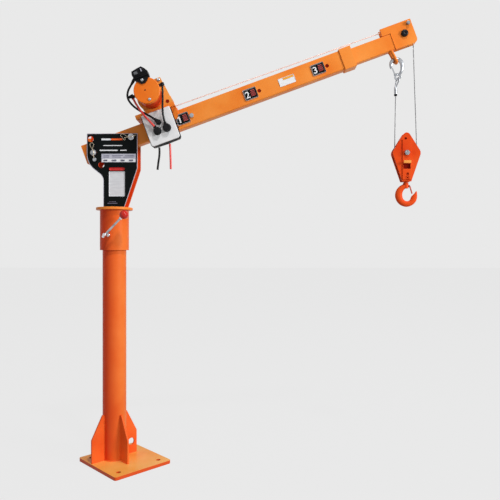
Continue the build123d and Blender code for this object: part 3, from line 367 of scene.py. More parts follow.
class Finish(Enum):
    """Finishes of the crane."""

    BOOM_COAT = PowderCoat("boom_coat", srgb(238, 138, 54), srgb(232, 122, 40), srgb(242, 150, 68))
    # Painted shade: the left side of the column and head plates passes to a deeper red.
    COLUMN_COAT = PowderCoat(
        "column_coat", srgb(228, 112, 44), srgb(220, 96, 34), srgb(234, 126, 56),
        far=srgb(224, 70, 26), shade_axis="X", shade_from=(0.045, -0.03),
    )
    GUSSET_COAT = PowderCoat("gusset_coat", srgb(232, 98, 38), srgb(222, 80, 26), srgb(240, 114, 50))
    # Painted shade: the collar's left side passes to a deeper red.
    COLLAR_COAT = PowderCoat(
        "collar_coat", srgb(230, 114, 46), srgb(222, 98, 34), srgb(236, 128, 58),
        far=srgb(220, 68, 24), shade_axis="X", shade_from=(0.05, -0.035),
    )
    # Painted light and shade: a light orange on the plate's top face and a deeper red on its sides
    # below it.
    PLATE_COAT = PowderCoat(
        "plate_coat", srgb(240, 164, 76), srgb(234, 148, 60), srgb(243, 178, 92),
        far=srgb(216, 82, 34), shade_axis="Z", shade_from=(0.0159, 0.0152),
    )
    # Painted shade: the motor shell and gearbox behind the end cap pass to a deeper red.
    WINCH_COAT = PowderCoat(
        "winch_coat", srgb(237, 118, 34), srgb(230, 104, 22), srgb(242, 130, 44),
        far=srgb(212, 58, 24),
    )
    FRAME_COAT = PowderCoat("frame_coat", srgb(236, 154, 66), srgb(230, 138, 52), srgb(242, 166, 82))
    # Painted shade: the throat web is a deep red copy of the orange paint for the shade it stands in.
    WEB_SHADE_COAT = PowderCoat(
        "web_shade_coat", srgb(222, 66, 22), srgb(208, 50, 14), srgb(232, 84, 34), coat=0.0, gloss=0.0
    )
    SHADE_COAT = PowderCoat(
        "shade_coat", srgb(132, 26, 14), srgb(112, 18, 10), srgb(150, 36, 20), coat=0.0, gloss=0.02
    )
    BLOCK = PowderCoat(
        "block_enamel", srgb(224, 78, 28), srgb(212, 62, 20), srgb(232, 94, 40), roughness=0.34,
        coat=0.0, gloss=0.06,
    )
    SILVER_BOX = PowderCoat(
        "box_paint", srgb(238, 237, 237), srgb(220, 221, 223), srgb(243, 243, 244), "box_silver", 0.3
    )
    ZINC = Metal("zinc_plate", (0.5, 0.52, 0.55), (0.24, 0.25, 0.27), 0.26)
    CHROME = Metal(
        "chrome_plate", (0.74, 0.75, 0.77), (0.6, 0.61, 0.64), 0.1, "chrome", relief=0.000004
    )
    GOLD_CLIP = Metal("yellow_passivate", (0.72, 0.62, 0.46), (0.5, 0.42, 0.3), 0.3)
    MACHINED = Metal(
        "machined_steel", (0.36, 0.36, 0.37), (0.24, 0.24, 0.25), 0.36, grain=Grain.BRUSHED
    )
    ROPE = Metal(
        "rope_wire", (0.34, 0.34, 0.345), (0.2, 0.2, 0.205), 0.5, "wire_rope", relief=0.00003
    )
    # Painted reflection: the running rope's wire is tinted pale pink for the orange paint it
    # reflects.
    RUN_ROPE_REFLECTION = Metal(
        "run_rope_reflection", (0.92, 0.76, 0.7), (0.84, 0.64, 0.58), 0.7, "wire_rope", relief=0.00003
    )
    RUBBER = Polymer(
        "boot_rubber", (0.006, 0.006, 0.007), (0.014, 0.014, 0.016), 0.4, "black_rubber", gloss=0.12
    )
    JACKET = Polymer(
        "black_jacket", (0.006, 0.006, 0.007), (0.012, 0.012, 0.013), 0.26, "cable_black", gloss=0.16
    )
    RED_JACKET = Polymer("red_jacket", srgb(222, 48, 44), srgb(232, 84, 76), 0.3, "cable_red")
    HOUSING = Polymer("housing_black", (0.005, 0.005, 0.006), (0.01, 0.01, 0.012), 0.36, gloss=0.12)
    WINDOW = Polymer("window_grey", srgb(84, 86, 90), srgb(108, 110, 114), 0.2, relief=0.00001)
    KNOB = Polymer(
        "knob_red", srgb(188, 28, 20), srgb(202, 46, 34), 0.16, "red_knob", 0.00001, gloss=0.25
    )
    FOIL_BLACK = PrintedFoil(
        "foil_black", (0.004, 0.0055, 0.0055), (0.006, 0.008, 0.008), "black_plastic", 0.25,
        gloss=0.05,
    )
    FOIL_SILVER = PrintedFoil(
        "foil_silver", srgb(168, 168, 182), srgb(200, 200, 212), roughness=0.3, metallic=0.2
    )
    FOIL_GREY = PrintedFoil("foil_grey", srgb(92, 92, 112), srgb(118, 118, 136), "black_plastic")
    FOIL_WHITE = PrintedFoil("foil_white", srgb(226, 227, 230), srgb(238, 238, 240))
    FOIL_PALE = PrintedFoil("foil_pale", srgb(206, 207, 211), srgb(220, 221, 224))
    FOIL_RED = PrintedFoil("foil_red", srgb(206, 42, 38), srgb(220, 62, 56), "cable_red")
    FOIL_PINK = PrintedFoil("foil_pink", srgb(196, 84, 84), srgb(210, 104, 100), "red_knob")
    FOIL_ORANGE = PrintedFoil("foil_orange", srgb(236, 96, 30), srgb(244, 112, 44), "orange_paint")
    FOIL_AMBER = PrintedFoil("foil_amber", srgb(232, 158, 40), srgb(240, 176, 66), "cable_red")


class Paintbox(dict):
    """Materials by finish, made once, on first use."""

    def __missing__(self, finish: Finish) -> bpy.types.Material:
        """Make the material of a finish."""
        self[finish] = finish.value.material()
        return self[finish]


PAINTS = Paintbox()


# Bench


class Bench:
    """Modelling operations on one object at a time, as done by hand. Sizes are in millimetres."""

    @staticmethod
    def put_down() -> None:
        """Leave edit mode and let go of every object."""
        if bpy.context.object is not None and bpy.context.object.mode != "OBJECT":
            bpy.ops.object.mode_set(mode="OBJECT")
        bpy.ops.object.select_all(action="DESELECT")

    @classmethod
    def pick_up(cls, *pieces: bpy.types.Object) -> None:
        """Select pieces.

        Args:
            *pieces: The pieces. The first one becomes active.
        """
        cls.put_down()
        for piece in pieces:
            piece.select_set(True)
        bpy.context.view_layer.objects.active = pieces[0]

    @classmethod
    def edit(cls, piece: bpy.types.Object, select: str, mode: str = "FACE") -> bmesh.types.BMesh:
        """Open a piece in edit mode.

        Args:
            piece: The piece.
            select: First selection, SELECT for all or DESELECT for nothing.
            mode: Kind of element to select.

        Returns:
            Its edit mesh.
        """
        cls.pick_up(piece)
        bpy.ops.object.mode_set(mode="EDIT")
        bpy.ops.mesh.select_mode(type=mode)
        bpy.ops.mesh.select_all(action=select)
        return bmesh.from_edit_mesh(piece.data)

    @staticmethod
    def made(name: str) -> bpy.types.Object:
        """Take the active object's place and size into its mesh.

        Args:
            name: Name for it.

        Returns:
            The object.
        """
        piece = bpy.context.object
        piece.name = name
        bpy.ops.object.transform_apply(location=True, rotation=True, scale=True)
        return piece

    @classmethod
    def place(cls, piece: bpy.types.Object, matrix: Matrix) -> bpy.types.Object:
        """Move a piece and take its place into its mesh.

        Args:
            piece: The piece.
            matrix: How it is moved.

        Returns:
            The piece.
        """
        cls.pick_up(piece)
        piece.matrix_world = matrix @ piece.matrix_world
        return cls.made(piece.name)

    @classmethod
    def stand(cls, piece: bpy.types.Object, foot: Vector, along: Vector) -> bpy.types.Object:
        """Turn a piece made along +Z to point along a direction, with its foot at a point."""
        turn = along.normalized().to_track_quat("Z", "Y").to_matrix().to_4x4()
        return cls.place(piece, Matrix.Translation(foot) @ turn)

    @classmethod
    def modify(cls, piece: bpy.types.Object, kind: str, **values: object) -> bpy.types.Object:
        """Add a modifier, set it and apply it.

        Args:
            piece: The piece.
            kind: Type name of the modifier.
            **values: The modifier's settings.

        Returns:
            The piece.
        """
        cls.pick_up(piece)
        modifier = piece.modifiers.new(kind.lower(), kind)
        for key, value in values.items():
            setattr(modifier, key, value)
        bpy.ops.object.modifier_apply(modifier=modifier.name)
        return piece

    @classmethod
    def shade(cls, piece: bpy.types.Object, angle: float) -> bpy.types.Object:
        """Shade a piece smooth.

        Args:
            piece: The piece.
            angle: Angle between faces up to which it looks smooth, in degrees.

        Returns:
            The piece.
        """
        cls.pick_up(piece)
        bpy.ops.object.shade_smooth_by_angle(angle=radians(angle))
        return piece

    @classmethod
    def soften(cls, piece: bpy.types.Object, width: float) -> bpy.types.Object:
        """Round the sharp edges of a piece and shade it smooth by angle."""
        limit = {"limit_method": "ANGLE", "angle_limit": radians(40)}
        return cls.shade(cls.modify(piece, "BEVEL", width=width * MM, segments=2, **limit), 35)

    @classmethod
    def face_out(cls, piece: bpy.types.Object) -> bpy.types.Object:
        """Merge doubles and turn every face outwards.

        Args:
            piece: The piece.

        Returns:
            The piece.
        """
        cls.edit(piece, "SELECT")
        bpy.ops.mesh.remove_doubles(threshold=1e-6)
        bpy.ops.mesh.normals_make_consistent(inside=False)
        cls.put_down()
        return piece

    @classmethod
    def join(cls, name: str, pieces: list[bpy.types.Object]) -> bpy.types.Object:
        """Join pieces into one.

        Args:
            name: Name of the whole.
            pieces: The pieces, at least one.

        Returns:
            The whole.
        """
        cls.pick_up(*pieces)
        if len(pieces) > 1:
            bpy.ops.object.join()
        pieces[0].name = name
        return pieces[0]

    @classmethod
    def plate(cls, name: str, outline: list[Flat], front: float, depth: float) -> bpy.types.Object:
        """Cut a plate in the X-Z plane to an outline.

        Args:
            name: Name of the piece.
            outline: X and Z of its corners in order.
            front: Y of its front face.
            depth: Thickness towards the back.

        Returns:
            The plate.
        """
        cls.put_down()
        bpy.ops.mesh.primitive_circle_add(vertices=len(outline), radius=1, fill_type="NGON")
        piece = cls.made(name)
        mesh = cls.edit(piece, "SELECT")
        mesh.verts.ensure_lookup_table()
        for vertex, (x, z) in zip(mesh.verts, outline):
            vertex.co = mm(x, front, z)
        bmesh.update_edit_mesh(piece.data)
        bpy.ops.mesh.extrude_region_move(TRANSFORM_OT_translate={"value": (0, depth * MM, 0)})
        cls.put_down()
        return cls.face_out(piece)

    @classmethod
    def turned(
        cls, name: str, stations: list[Flat], foot: Vector | None = None, along: Vector = FRONT,
        sides: int = 40, smooth: float = 35.0,
    ) -> bpy.types.Object:
        """Make a turned piece by extruding and resizing a disc, and stand it in place.

        Args:
            name: Name of the piece.
            stations: Height and radius of each step, from the foot up.
            foot: Place of its foot, in metres, or None to leave it upright at the origin.
            along: Direction in which it stands out.
            sides: Number of sides.
            smooth: Angle up to which it is shaded smooth, in degrees, or 0 for flat.

        Returns:
            The closed piece.
        """
        cls.put_down()
        height, radius = stations[0]
        bpy.ops.mesh.primitive_circle_add(
            vertices=sides, radius=radius * MM, fill_type="NGON", location=mm(0, 0, height)
        )
        piece = cls.made(name)
        cls.edit(piece, "SELECT")
        for next_height, next_radius in stations[1:]:
            rise, share = (next_height - height) * MM, next_radius / radius
            bpy.ops.mesh.extrude_region_move(TRANSFORM_OT_translate={"value": (0, 0, rise)})
            bpy.ops.transform.resize(
                value=(share, share, 1), center_override=mm(0, 0, next_height)
            )
            height, radius = next_height, next_radius
        cls.put_down()
        cls.face_out(piece)
        if smooth:
            cls.shade(piece, smooth)
        return piece if foot is None else cls.stand(piece, foot, along)

    @classmethod
    def slab(cls, name: str, size: Point, centre: Point, corner: float = 0.0) -> bpy.types.Object:
        """Make a flat plate in the X-Z plane with rounded corners.

        Args:
            name: Name of the piece.
            size: Length along X, thickness along Y and height along Z.
            centre: Centre of the plate.
            corner: Corner radius seen from the front.

        Returns:
            The plate.
        """
        cls.put_down()
        bpy.ops.mesh.primitive_cube_add(size=1, location=mm(*centre), scale=mm(*size))
        piece = cls.made(name)
        if corner:
            mesh = cls.edit(piece, "DESELECT", "EDGE")
            for edge in mesh.edges:
                along = edge.verts[0].co - edge.verts[1].co
                edge.select = abs(along.y) > size[1] * MM * 0.9 and hypot(along.x, along.z) < 1e-6
            mesh.select_flush(True)
            bmesh.update_edit_mesh(piece.data)
            bpy.ops.mesh.bevel(offset=corner * MM, segments=6, affect="EDGES")
            cls.put_down()
        return piece

    @staticmethod
    def curve(
        name: str, points: list[Vector], radius: float = 0.0, order: int = 3, steps: int = 8,
        rings: int = 3, kind: str = "NURBS",
    ) -> bpy.types.Object:
        """Draw a curve along points.

        Args:
            name: Name of the piece.
            points: Points that the curve follows, in metres.
            radius: Radius of the round bar along it, or 0 for a bare line.
            order: 3 for smooth bends between the points, 2 for straight runs.
            steps: Pieces per point.
            rings: Fineness of the round section.
            kind: Kind of spline.

        Returns:
            The curve.
        """
        curve = bpy.data.curves.new(name, "CURVE")
        curve.dimensions = "3D"
        curve.bevel_depth = radius * MM
        curve.bevel_resolution = rings
        curve.use_fill_caps = True
        curve.resolution_u = steps
        spline = curve.splines.new(kind)
        spline.points.add(len(points) - 1)
        for point, target in zip(spline.points, points):
            point.co = (*target, 1)
        spline.order_u = order
        spline.use_endpoint_u = True
        piece = bpy.data.objects.new(name, curve)
        bpy.context.scene.collection.objects.link(piece)
        return piece

    @classmethod
    def wire(
        cls, name: str, points: list[Vector], radius: float, order: int = 3, steps: int = 8
    ) -> bpy.types.Object:
        """Make a round bar or wire along points.

        Args:
            name: Name of the piece.
            points: Points that it follows, in metres.
            radius: Its radius.
            order: 3 for smooth bends between the points, 2 for straight runs.
            steps: Pieces per point.

        Returns:
            The mesh.
        """
        cls.pick_up(cls.curve(name, points, radius, order, steps))
        bpy.ops.object.convert(target="MESH")
        return cls.shade(bpy.context.object, 60)

    @classmethod
    def torus(
        cls, name: str, radius: float, thickness: float, segments: int, **placing: object
    ) -> bpy.types.Object:
        """Make a ring of a round section.

        Args:
            name: Name of the piece.
            radius: Radius of the ring's middle line.
            thickness: Radius of its section.
            segments: Pieces round the ring.
            **placing: Location and rotation, as the operator takes them.

        Returns:
            The ring.
        """
        cls.put_down()
        bpy.ops.mesh.primitive_torus_add(
            major_radius=radius * MM, minor_radius=thickness * MM, major_segments=segments,
            minor_segments=8, **placing,
        )
        return cls.made(name)

    @classmethod
    def weld(cls, piece: bpy.types.Object) -> bpy.types.Object:
        """Ripple a bead as a welder's hand leaves it.

        Args:
            piece: The bead.

        Returns:
            The bead.
        """
        ripple = bpy.data.textures.get("weld_ripple") or bpy.data.textures.new(
            "weld_ripple", "CLOUDS"
        )
        ripple.noise_scale = RIPPLE_SIZE
        cls.modify(piece, "DISPLACE", texture=ripple, strength=RIPPLE_DEPTH, mid_level=0.5)
        return cls.shade(piece, 80)

    @classmethod
    def weld_ring(cls, name: str, height: float, radius: float, thickness: float) -> bpy.types.Object:
        """Lay a level weld bead round the upright axis."""
        return cls.weld(cls.torus(name, radius, thickness, 144, location=mm(0, 0, height)))

    @classmethod
    def weld_line(cls, name: str, points: list[Vector], thickness: float) -> bpy.types.Object:
        """Lay a weld bead along straight runs, with points close enough to ripple.

        Args:
            name: Name of the piece.
            points: Ends of the runs, in metres.
            thickness: Radius of the bead.

        Returns:
            The bead.
        """
        longest = max((b - a).length for a, b in zip(points, points[1:]))
        steps = max(2, ceil(longest / BEAD_STEP))
        return cls.weld(cls.wire(name, points, thickness, 2, steps))


def fit(piece: bpy.types.Object, finish: Finish, body: Body) -> None:
    """Paint a piece and let it ride on its body.

    Args:
        piece: The piece.
        finish: Its finish.
        body: The body that carries it.
    """
    if not piece.data.materials:
        piece.data.materials.append(PAINTS[finish])
    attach(piece, body.value)
    log.info("%s rides on %s", piece.name, body.value)


def dress(finish: Finish, *nodes: str) -> None:
    """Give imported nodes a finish."""
    for node in nodes:
        mesh = frame["nodes"][node].data
        mesh.materials.clear()
        mesh.materials.append(PAINTS[finish])


def stick(finish: Finish, name: str, size: Point, centre: Point, corner: float) -> None:
    """Fit a thin plate that rides on the boom, sized and placed in the boom's frame."""
    fit(Bench.place(Bench.slab(name, size, centre, corner), BOOM_FRAME), finish, Body.BOOM)


@dataclass
class HexBolt:
    """Hexagon head on a washer."""

    across: float
    head: float
    washer: float
    washer_thick: float = 1.7

    def build(self, name: str, seat: Vector, along: Vector = FRONT) -> bpy.types.Object:
        """Make the head and washer.

        Args:
            name: Name of the piece.
            seat: Where the washer sits.
            along: Direction in which the head stands out.

        Returns:
            The piece.
        """
        rim, thick = self.washer, self.washer_thick
        washer = Bench.turned(
            "washer", [(0, rim * 0.96), (0.3, rim), (thick - 0.3, rim), (thick, rim * 0.96)],
            sides=32, smooth=0,
        )
        corner, top = self.across / 2 / cos(pi / 6), thick + self.head
        head = Bench.turned(
            name, [(thick, corner), (top - 0.6, corner), (top, corner * 0.86), (top, corner * 0.72),
                   (top - 0.3, corner * 0.68)], sides=6, smooth=0,
        )
        return Bench.stand(Bench.shade(Bench.join(name, [head, washer]), 30), seat, along)


# Sub-assemblies


@dataclass
class Pedestal:
    """Base plate, column and gussets with their welds."""

    column_r: float = 57.15
    plate_top: float = 16.0
    gussets: tuple[Flat, ...] = ((45, 125.0), (135, 108.0), (225, 125.0), (315, 125.0))
    gusset_top: float = 220.0
    gusset_half: float = 4.0

    def build(self) -> None:
        """Dress the pedestal and lay its beads."""
        dress(Finish.PLATE_COAT, "base_plate")
        dress(Finish.COLUMN_COAT, "column_tube")
        dress(Finish.GUSSET_COAT, "foot_gussets")
        beads = [Bench.weld_ring("foot_weld", self.plate_top, self.column_r, 4)]
        for turn, reach in self.gussets:
            beads += self.gusset_beads(radians(turn), reach)
        fit(Bench.join("pedestal_welds", beads), Finish.GUSSET_COAT, Body.PEDESTAL)

    def gusset_beads(self, turn: float, reach: float) -> list[bpy.types.Object]:
        """Lay the beads at the foot and the wall, on both sides of one gusset.

        Args:
            turn: Direction of the gusset from +X, in radians.
            reach: How far its foot reaches from the axis.

        Returns:
            The beads.
        """
        out, side = Vector((cos(turn), sin(turn), 0)), Vector((-sin(turn), cos(turn), 0))
        wall, top = self.column_r, self.gusset_top - 3
        beads = []
        for hand, _ in HANDS:
            for ends in (((wall + 2, 0), (reach - 2, 0)), ((wall, 6), (wall, top))):
                points = [
                    (out * far + side * (hand * self.gusset_half) + UP * (self.plate_top + z)) * MM
                    for far, z in ends
                ]
                beads.append(Bench.weld_line("gusset_weld", points, 3))
        return beads


@dataclass
class SlewHead:
    """Collar, flange and side plates, with the printed sheet, pins and clips."""

    sheet_front: float = -38.0
    sheet_gap: float = 0.25
    sheet_rim: float = 2.6
    sheet_thick: float = 0.5
    hole_margin: float = 20.0
    pin_reach: float = 199.0
    pin_drop: float = 2.6
    hole_luffs: tuple[float, ...] = (0.0, 20.0, 40.0)
    pivot: Vector = field(init=False)

    def __post_init__(self) -> None:
        """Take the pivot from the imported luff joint."""
        places = {joint["name"]: joint.get("pos_m") for joint in frame["joints"]}
        self.pivot = Vector(places["luff"])

    def hole(self, luff: float) -> Vector:
        """Return the centre of the position hole for a luff angle in degrees."""
        angle, reach = radians(self.pin_drop + luff), self.pin_reach * MM
        return self.pivot - Vector((reach * cos(angle), 0, reach * sin(angle)))

    def build(self) -> None:
        """Dress the head and add its sheet, pins and welds."""
        dress(Finish.COLUMN_COAT, "head_plate_front", "head_plate_back")
        dress(Finish.COLLAR_COAT, "slew_collar")
        dress(Finish.BOOM_COAT, "head_flange")
        # The throat web is painted deep red as shade.
        dress(Finish.WEB_SHADE_COAT, "throat_web")
        dress(Finish.ZINC, "head_pins")
        self.add_sheet()
        self.add_panels()
        self.add_pins()
        self.add_ear()
        self.add_welds()

    def add_sheet(self) -> None:
        """Cover the front plate with its printed sheet, cut from the plate's own outline."""
        mesh = frame["nodes"]["head_plate_front"].data.copy()
        sheet = bpy.data.objects.new("name_sheet", mesh)
        bpy.context.scene.collection.objects.link(sheet)
        mesh.materials.clear()
        Bench.edit(sheet, "SELECT")
        bpy.ops.mesh.remove_doubles(threshold=1e-6)
        for face in bmesh.from_edit_mesh(mesh).faces:
            face.select = face.normal.y > -0.9
        bmesh.update_edit_mesh(mesh)
        bpy.ops.mesh.delete(type="FACE")
        bpy.ops.mesh.select_all(action="SELECT")
        bpy.ops.mesh.inset(thickness=self.sheet_gap * MM, depth=0)
        bpy.ops.mesh.select_all(action="INVERT")
        bpy.ops.mesh.delete(type="FACE")
        bpy.ops.mesh.select_all(action="SELECT")
        bpy.ops.mesh.inset(thickness=self.sheet_rim * MM, depth=0)
        holes = [self.hole(luff) for luff in self.hole_luffs] + [self.pivot]
        for face in bmesh.from_edit_mesh(mesh).faces:
            middle = face.calc_center_median()
            near = min((hole - middle).xz.length for hole in holes) < self.hole_margin * MM
            face.material_index = 0 if face.select or near else 1
        bmesh.update_edit_mesh(mesh)
        bpy.ops.mesh.select_all(action="SELECT")
        step = (0, -self.sheet_thick * MM, 0)
        bpy.ops.mesh.extrude_region_move(TRANSFORM_OT_translate={"value": step})
        Bench.put_down()
        Bench.face_out(sheet)
        for finish in (Finish.FOIL_BLACK, Finish.FOIL_SILVER):
            mesh.materials.append(PAINTS[finish])
        fit(sheet, Finish.FOIL_BLACK, Body.HEAD)

    def printed(
        self, name: str, finish: Finish, level: int, fields: list[tuple[float, ...]],
        corner: float = 0.0,
    ) -> None:
        """Print plain rectangles on the sheet.

        Args:
            name: Name of the piece.
            finish: Its ink.
            level: Layer over the sheet, counted from 0.
            fields: Centre X and Z, width and height of each.
            corner: Corner radius.
        """
        y = self.sheet_front - 0.6 - 0.2 * level
        tiles = [
            Bench.slab("tile", (width, 0.3, height), (x, y, z), corner)
            for x, z, width, height in fields
        ]
        fit(Bench.join(name, tiles), finish, Body.HEAD)

    def add_panels(self) -> None:
        """Print plain bars, the rating table with its bars and the blank pale panel."""
        self.printed("rating_table", Finish.FOIL_SILVER, 0, [(30, 1488, 168, 41)])
        self.printed("rating_head", Finish.FOIL_GREY, 1, [
            (-30, 1499, 28, 3), (26, 1499.5, 56, 3), (82, 1499, 46, 3), (-30, 1492, 28, 3),
            (20, 1492.5, 44, 2.4), (78, 1492, 50, 2.4),
        ])
        self.printed("rating_row", Finish.FOIL_WHITE, 1, [(30, 1476.5, 162, 15)])
        self.printed("rating_marks", Finish.FOIL_GREY, 2, [
            (-34, 1476.5, 18, 6), (8, 1476.5, 22, 7), (50, 1476.5, 20, 7), (91, 1476.5, 20, 7),
        ], 2)
        self.printed("white_panel", Finish.FOIL_PALE, 0, [(22, 1362, 77, 122)], 3)
        self.printed("red_band", Finish.FOIL_RED, 0, [(22, 1434, 74, 14)], 6.9)
        self.printed("foot_lines", Finish.FOIL_GREY, 0, [(0, 1275, 34, 3), (0, 1267.5, 48, 4)], 1)
        self.printed("heading_white", Finish.FOIL_WHITE, 0, [(-30, 1579, 46, 9)], 2)
        self.printed("heading_orange", Finish.FOIL_ORANGE, 0, [(22, 1579, 54, 9)], 2)
        self.printed("heading_lines", Finish.FOIL_WHITE, 0, [
            (2, 1549, 92, 4), (-18, 1525.5, 88, 6), (54, 1525.5, 32, 5),
        ], 1)

    def add_pins(self) -> None:
        """Add the pivot pin's washer and clip, and the position pin with its clip and ring."""
        hole = self.hole(20)
        pivot_steps = [
            (0, 14.2), (1, 15.5), (3, 15.5), (4, 14.6), (4, 10.5), (6.5, 10), (7.5, 8.6), (7.5, 4),
            (6.9, 3),
        ]
        pin_steps = [(0, 13.2), (1, 14.4), (4, 14.4), (6, 12.6), (6, 8), (8, 7), (8.5, 3)]
        ring_steps = [(0, 8), (0.8, 9), (12.2, 9), (13, 7.6), (13, 4.4), (12, 3.6)]
        head = Bench.turned("pivot_head", pivot_steps, self.pivot + mm(0, -44, 0))
        fit(head, Finish.ZINC, Body.HEAD)
        pin = Bench.turned("position_head", pin_steps, hole + mm(0, -46, 0))
        fit(pin, Finish.ZINC, Body.HEAD)
        self.add_clip("pivot_clip", self.pivot, -52, 0.9, [
            (24, 8), (12, 3), (-3, 0), (-15, 1), (-24, 4), (-31, 11), (-40, 14), (-48, 11),
            (-50, 4), (-44, 0), (-38, -6), (-36, -14), (-30, -17), (-25, -12), (-30, -5), (-22, -3),
            (-6, -4), (12, 0),
        ])
        self.add_clip("position_clip", hole, -54, 1, [
            (4, 3), (-2, 12), (-7, 22), (-13, 30), (-14, 40), (-8, 47), (0, 46), (4, 38), (2, 28),
            (-2, 18), (4, 6), (4, -8), (2, -20), (6, -28),
        ])
        ring = Bench.turned("clip_ring", ring_steps, hole + mm(7, -38.5, -34))
        fit(ring, Finish.ZINC, Body.HEAD)

    @staticmethod
    def add_clip(name: str, middle: Vector, y: float, radius: float, bends: list[Flat]) -> None:
        """Bend a spring clip of wire in front of a pin.

        Args:
            name: Name of the piece.
            middle: The pin's centre, in metres.
            y: Where the clip lies, from the boom's middle.
            radius: Radius of the wire.
            bends: X and Z of each bend, from the pin.
        """
        points = [middle + mm(x, y, z) for x, z in bends]
        fit(Bench.wire(name, points, radius), Finish.GOLD_CLIP, Body.HEAD)

    def add_ear(self) -> None:
        """Add the small ear behind the first hole, on the back plate's edge."""
        x, _, z = self.hole(0) / MM
        ear = Bench.slab("plate_ear", (24, 5, 34), (x - 24, 35, z), 5)
        fit(Bench.soften(ear, 0.6), Finish.BOOM_COAT, Body.HEAD)

    def add_welds(self) -> None:
        """Lay the beads at the flange and along the plates' feet."""
        beads = [Bench.weld_ring("flange_weld", 1236, 70.2, 2.6)]
        for hand, _ in HANDS:
            points = [mm(x, hand * 38.5, 1248) for x in (-44, 57)]
            beads.append(Bench.weld_line("plate_weld", points, 2.6))
        fit(Bench.join("head_welds", beads), Finish.COLUMN_COAT, Body.HEAD)


@dataclass
class ClampLever:
    """Clamp screw with its lever, red knob, end caps and thread."""

    turn: float = radians(-8.0)
    rise: float = radians(45.0)
    height: float = 1112.0
    hub: float = 115.0
    thread_turns: int = 12
    thread_pitch: float = 1.75

    def build(self) -> None:
        """Dress the screw and the knob, and add the end caps and threads."""
        dress(Finish.ZINC, "clamp_screw")
        dress(Finish.KNOB, "clamp_knob")
        out = Vector((sin(self.turn), -cos(self.turn), 0))
        side = Vector((cos(self.turn), sin(self.turn), 0))
        lever = side * cos(self.rise) + UP * sin(self.rise)
        axis = UP * (self.height * MM)
        centre = axis + out * (self.hub * MM)
        thread = []
        for step in range(self.thread_turns):
            foot = self.thread_pitch * step
            thread += [(foot, 5.9), (foot + 0.85, 6.6)]
        pieces = [
            Bench.turned(
                "screw_cap", [(0, 8.5), (1.5, 8.3), (4, 7), (5.6, 4.6), (6.2, 1.8)],
                centre + out * (8 * MM), out, smooth=60,
            ),
            Bench.turned(
                "lever_end", [(0, 5), (1, 6.4), (4, 7), (7, 6), (9, 3.6), (9.5, 1)],
                centre - lever * (8.6 * MM), -lever, smooth=60,
            ),
            Bench.turned(
                "knob_ferrule", [(0, 5.2), (0.5, 7.2), (6, 7.6), (8, 7.6)],
                centre + lever * (106 * MM), lever,
            ),
            Bench.turned(
                "nut_dome", [(0, 9.4), (4, 9.4), (7, 8.4), (8.6, 7.2), (9.2, 6.2)],
                axis + out * (76 * MM), out, smooth=50,
            ),
            Bench.turned("screw_thread", thread, axis + out * (85.6 * MM), out, sides=32),
        ]
        fit(Bench.join("lever_fittings", pieces), Finish.CHROME, Body.LEVER)


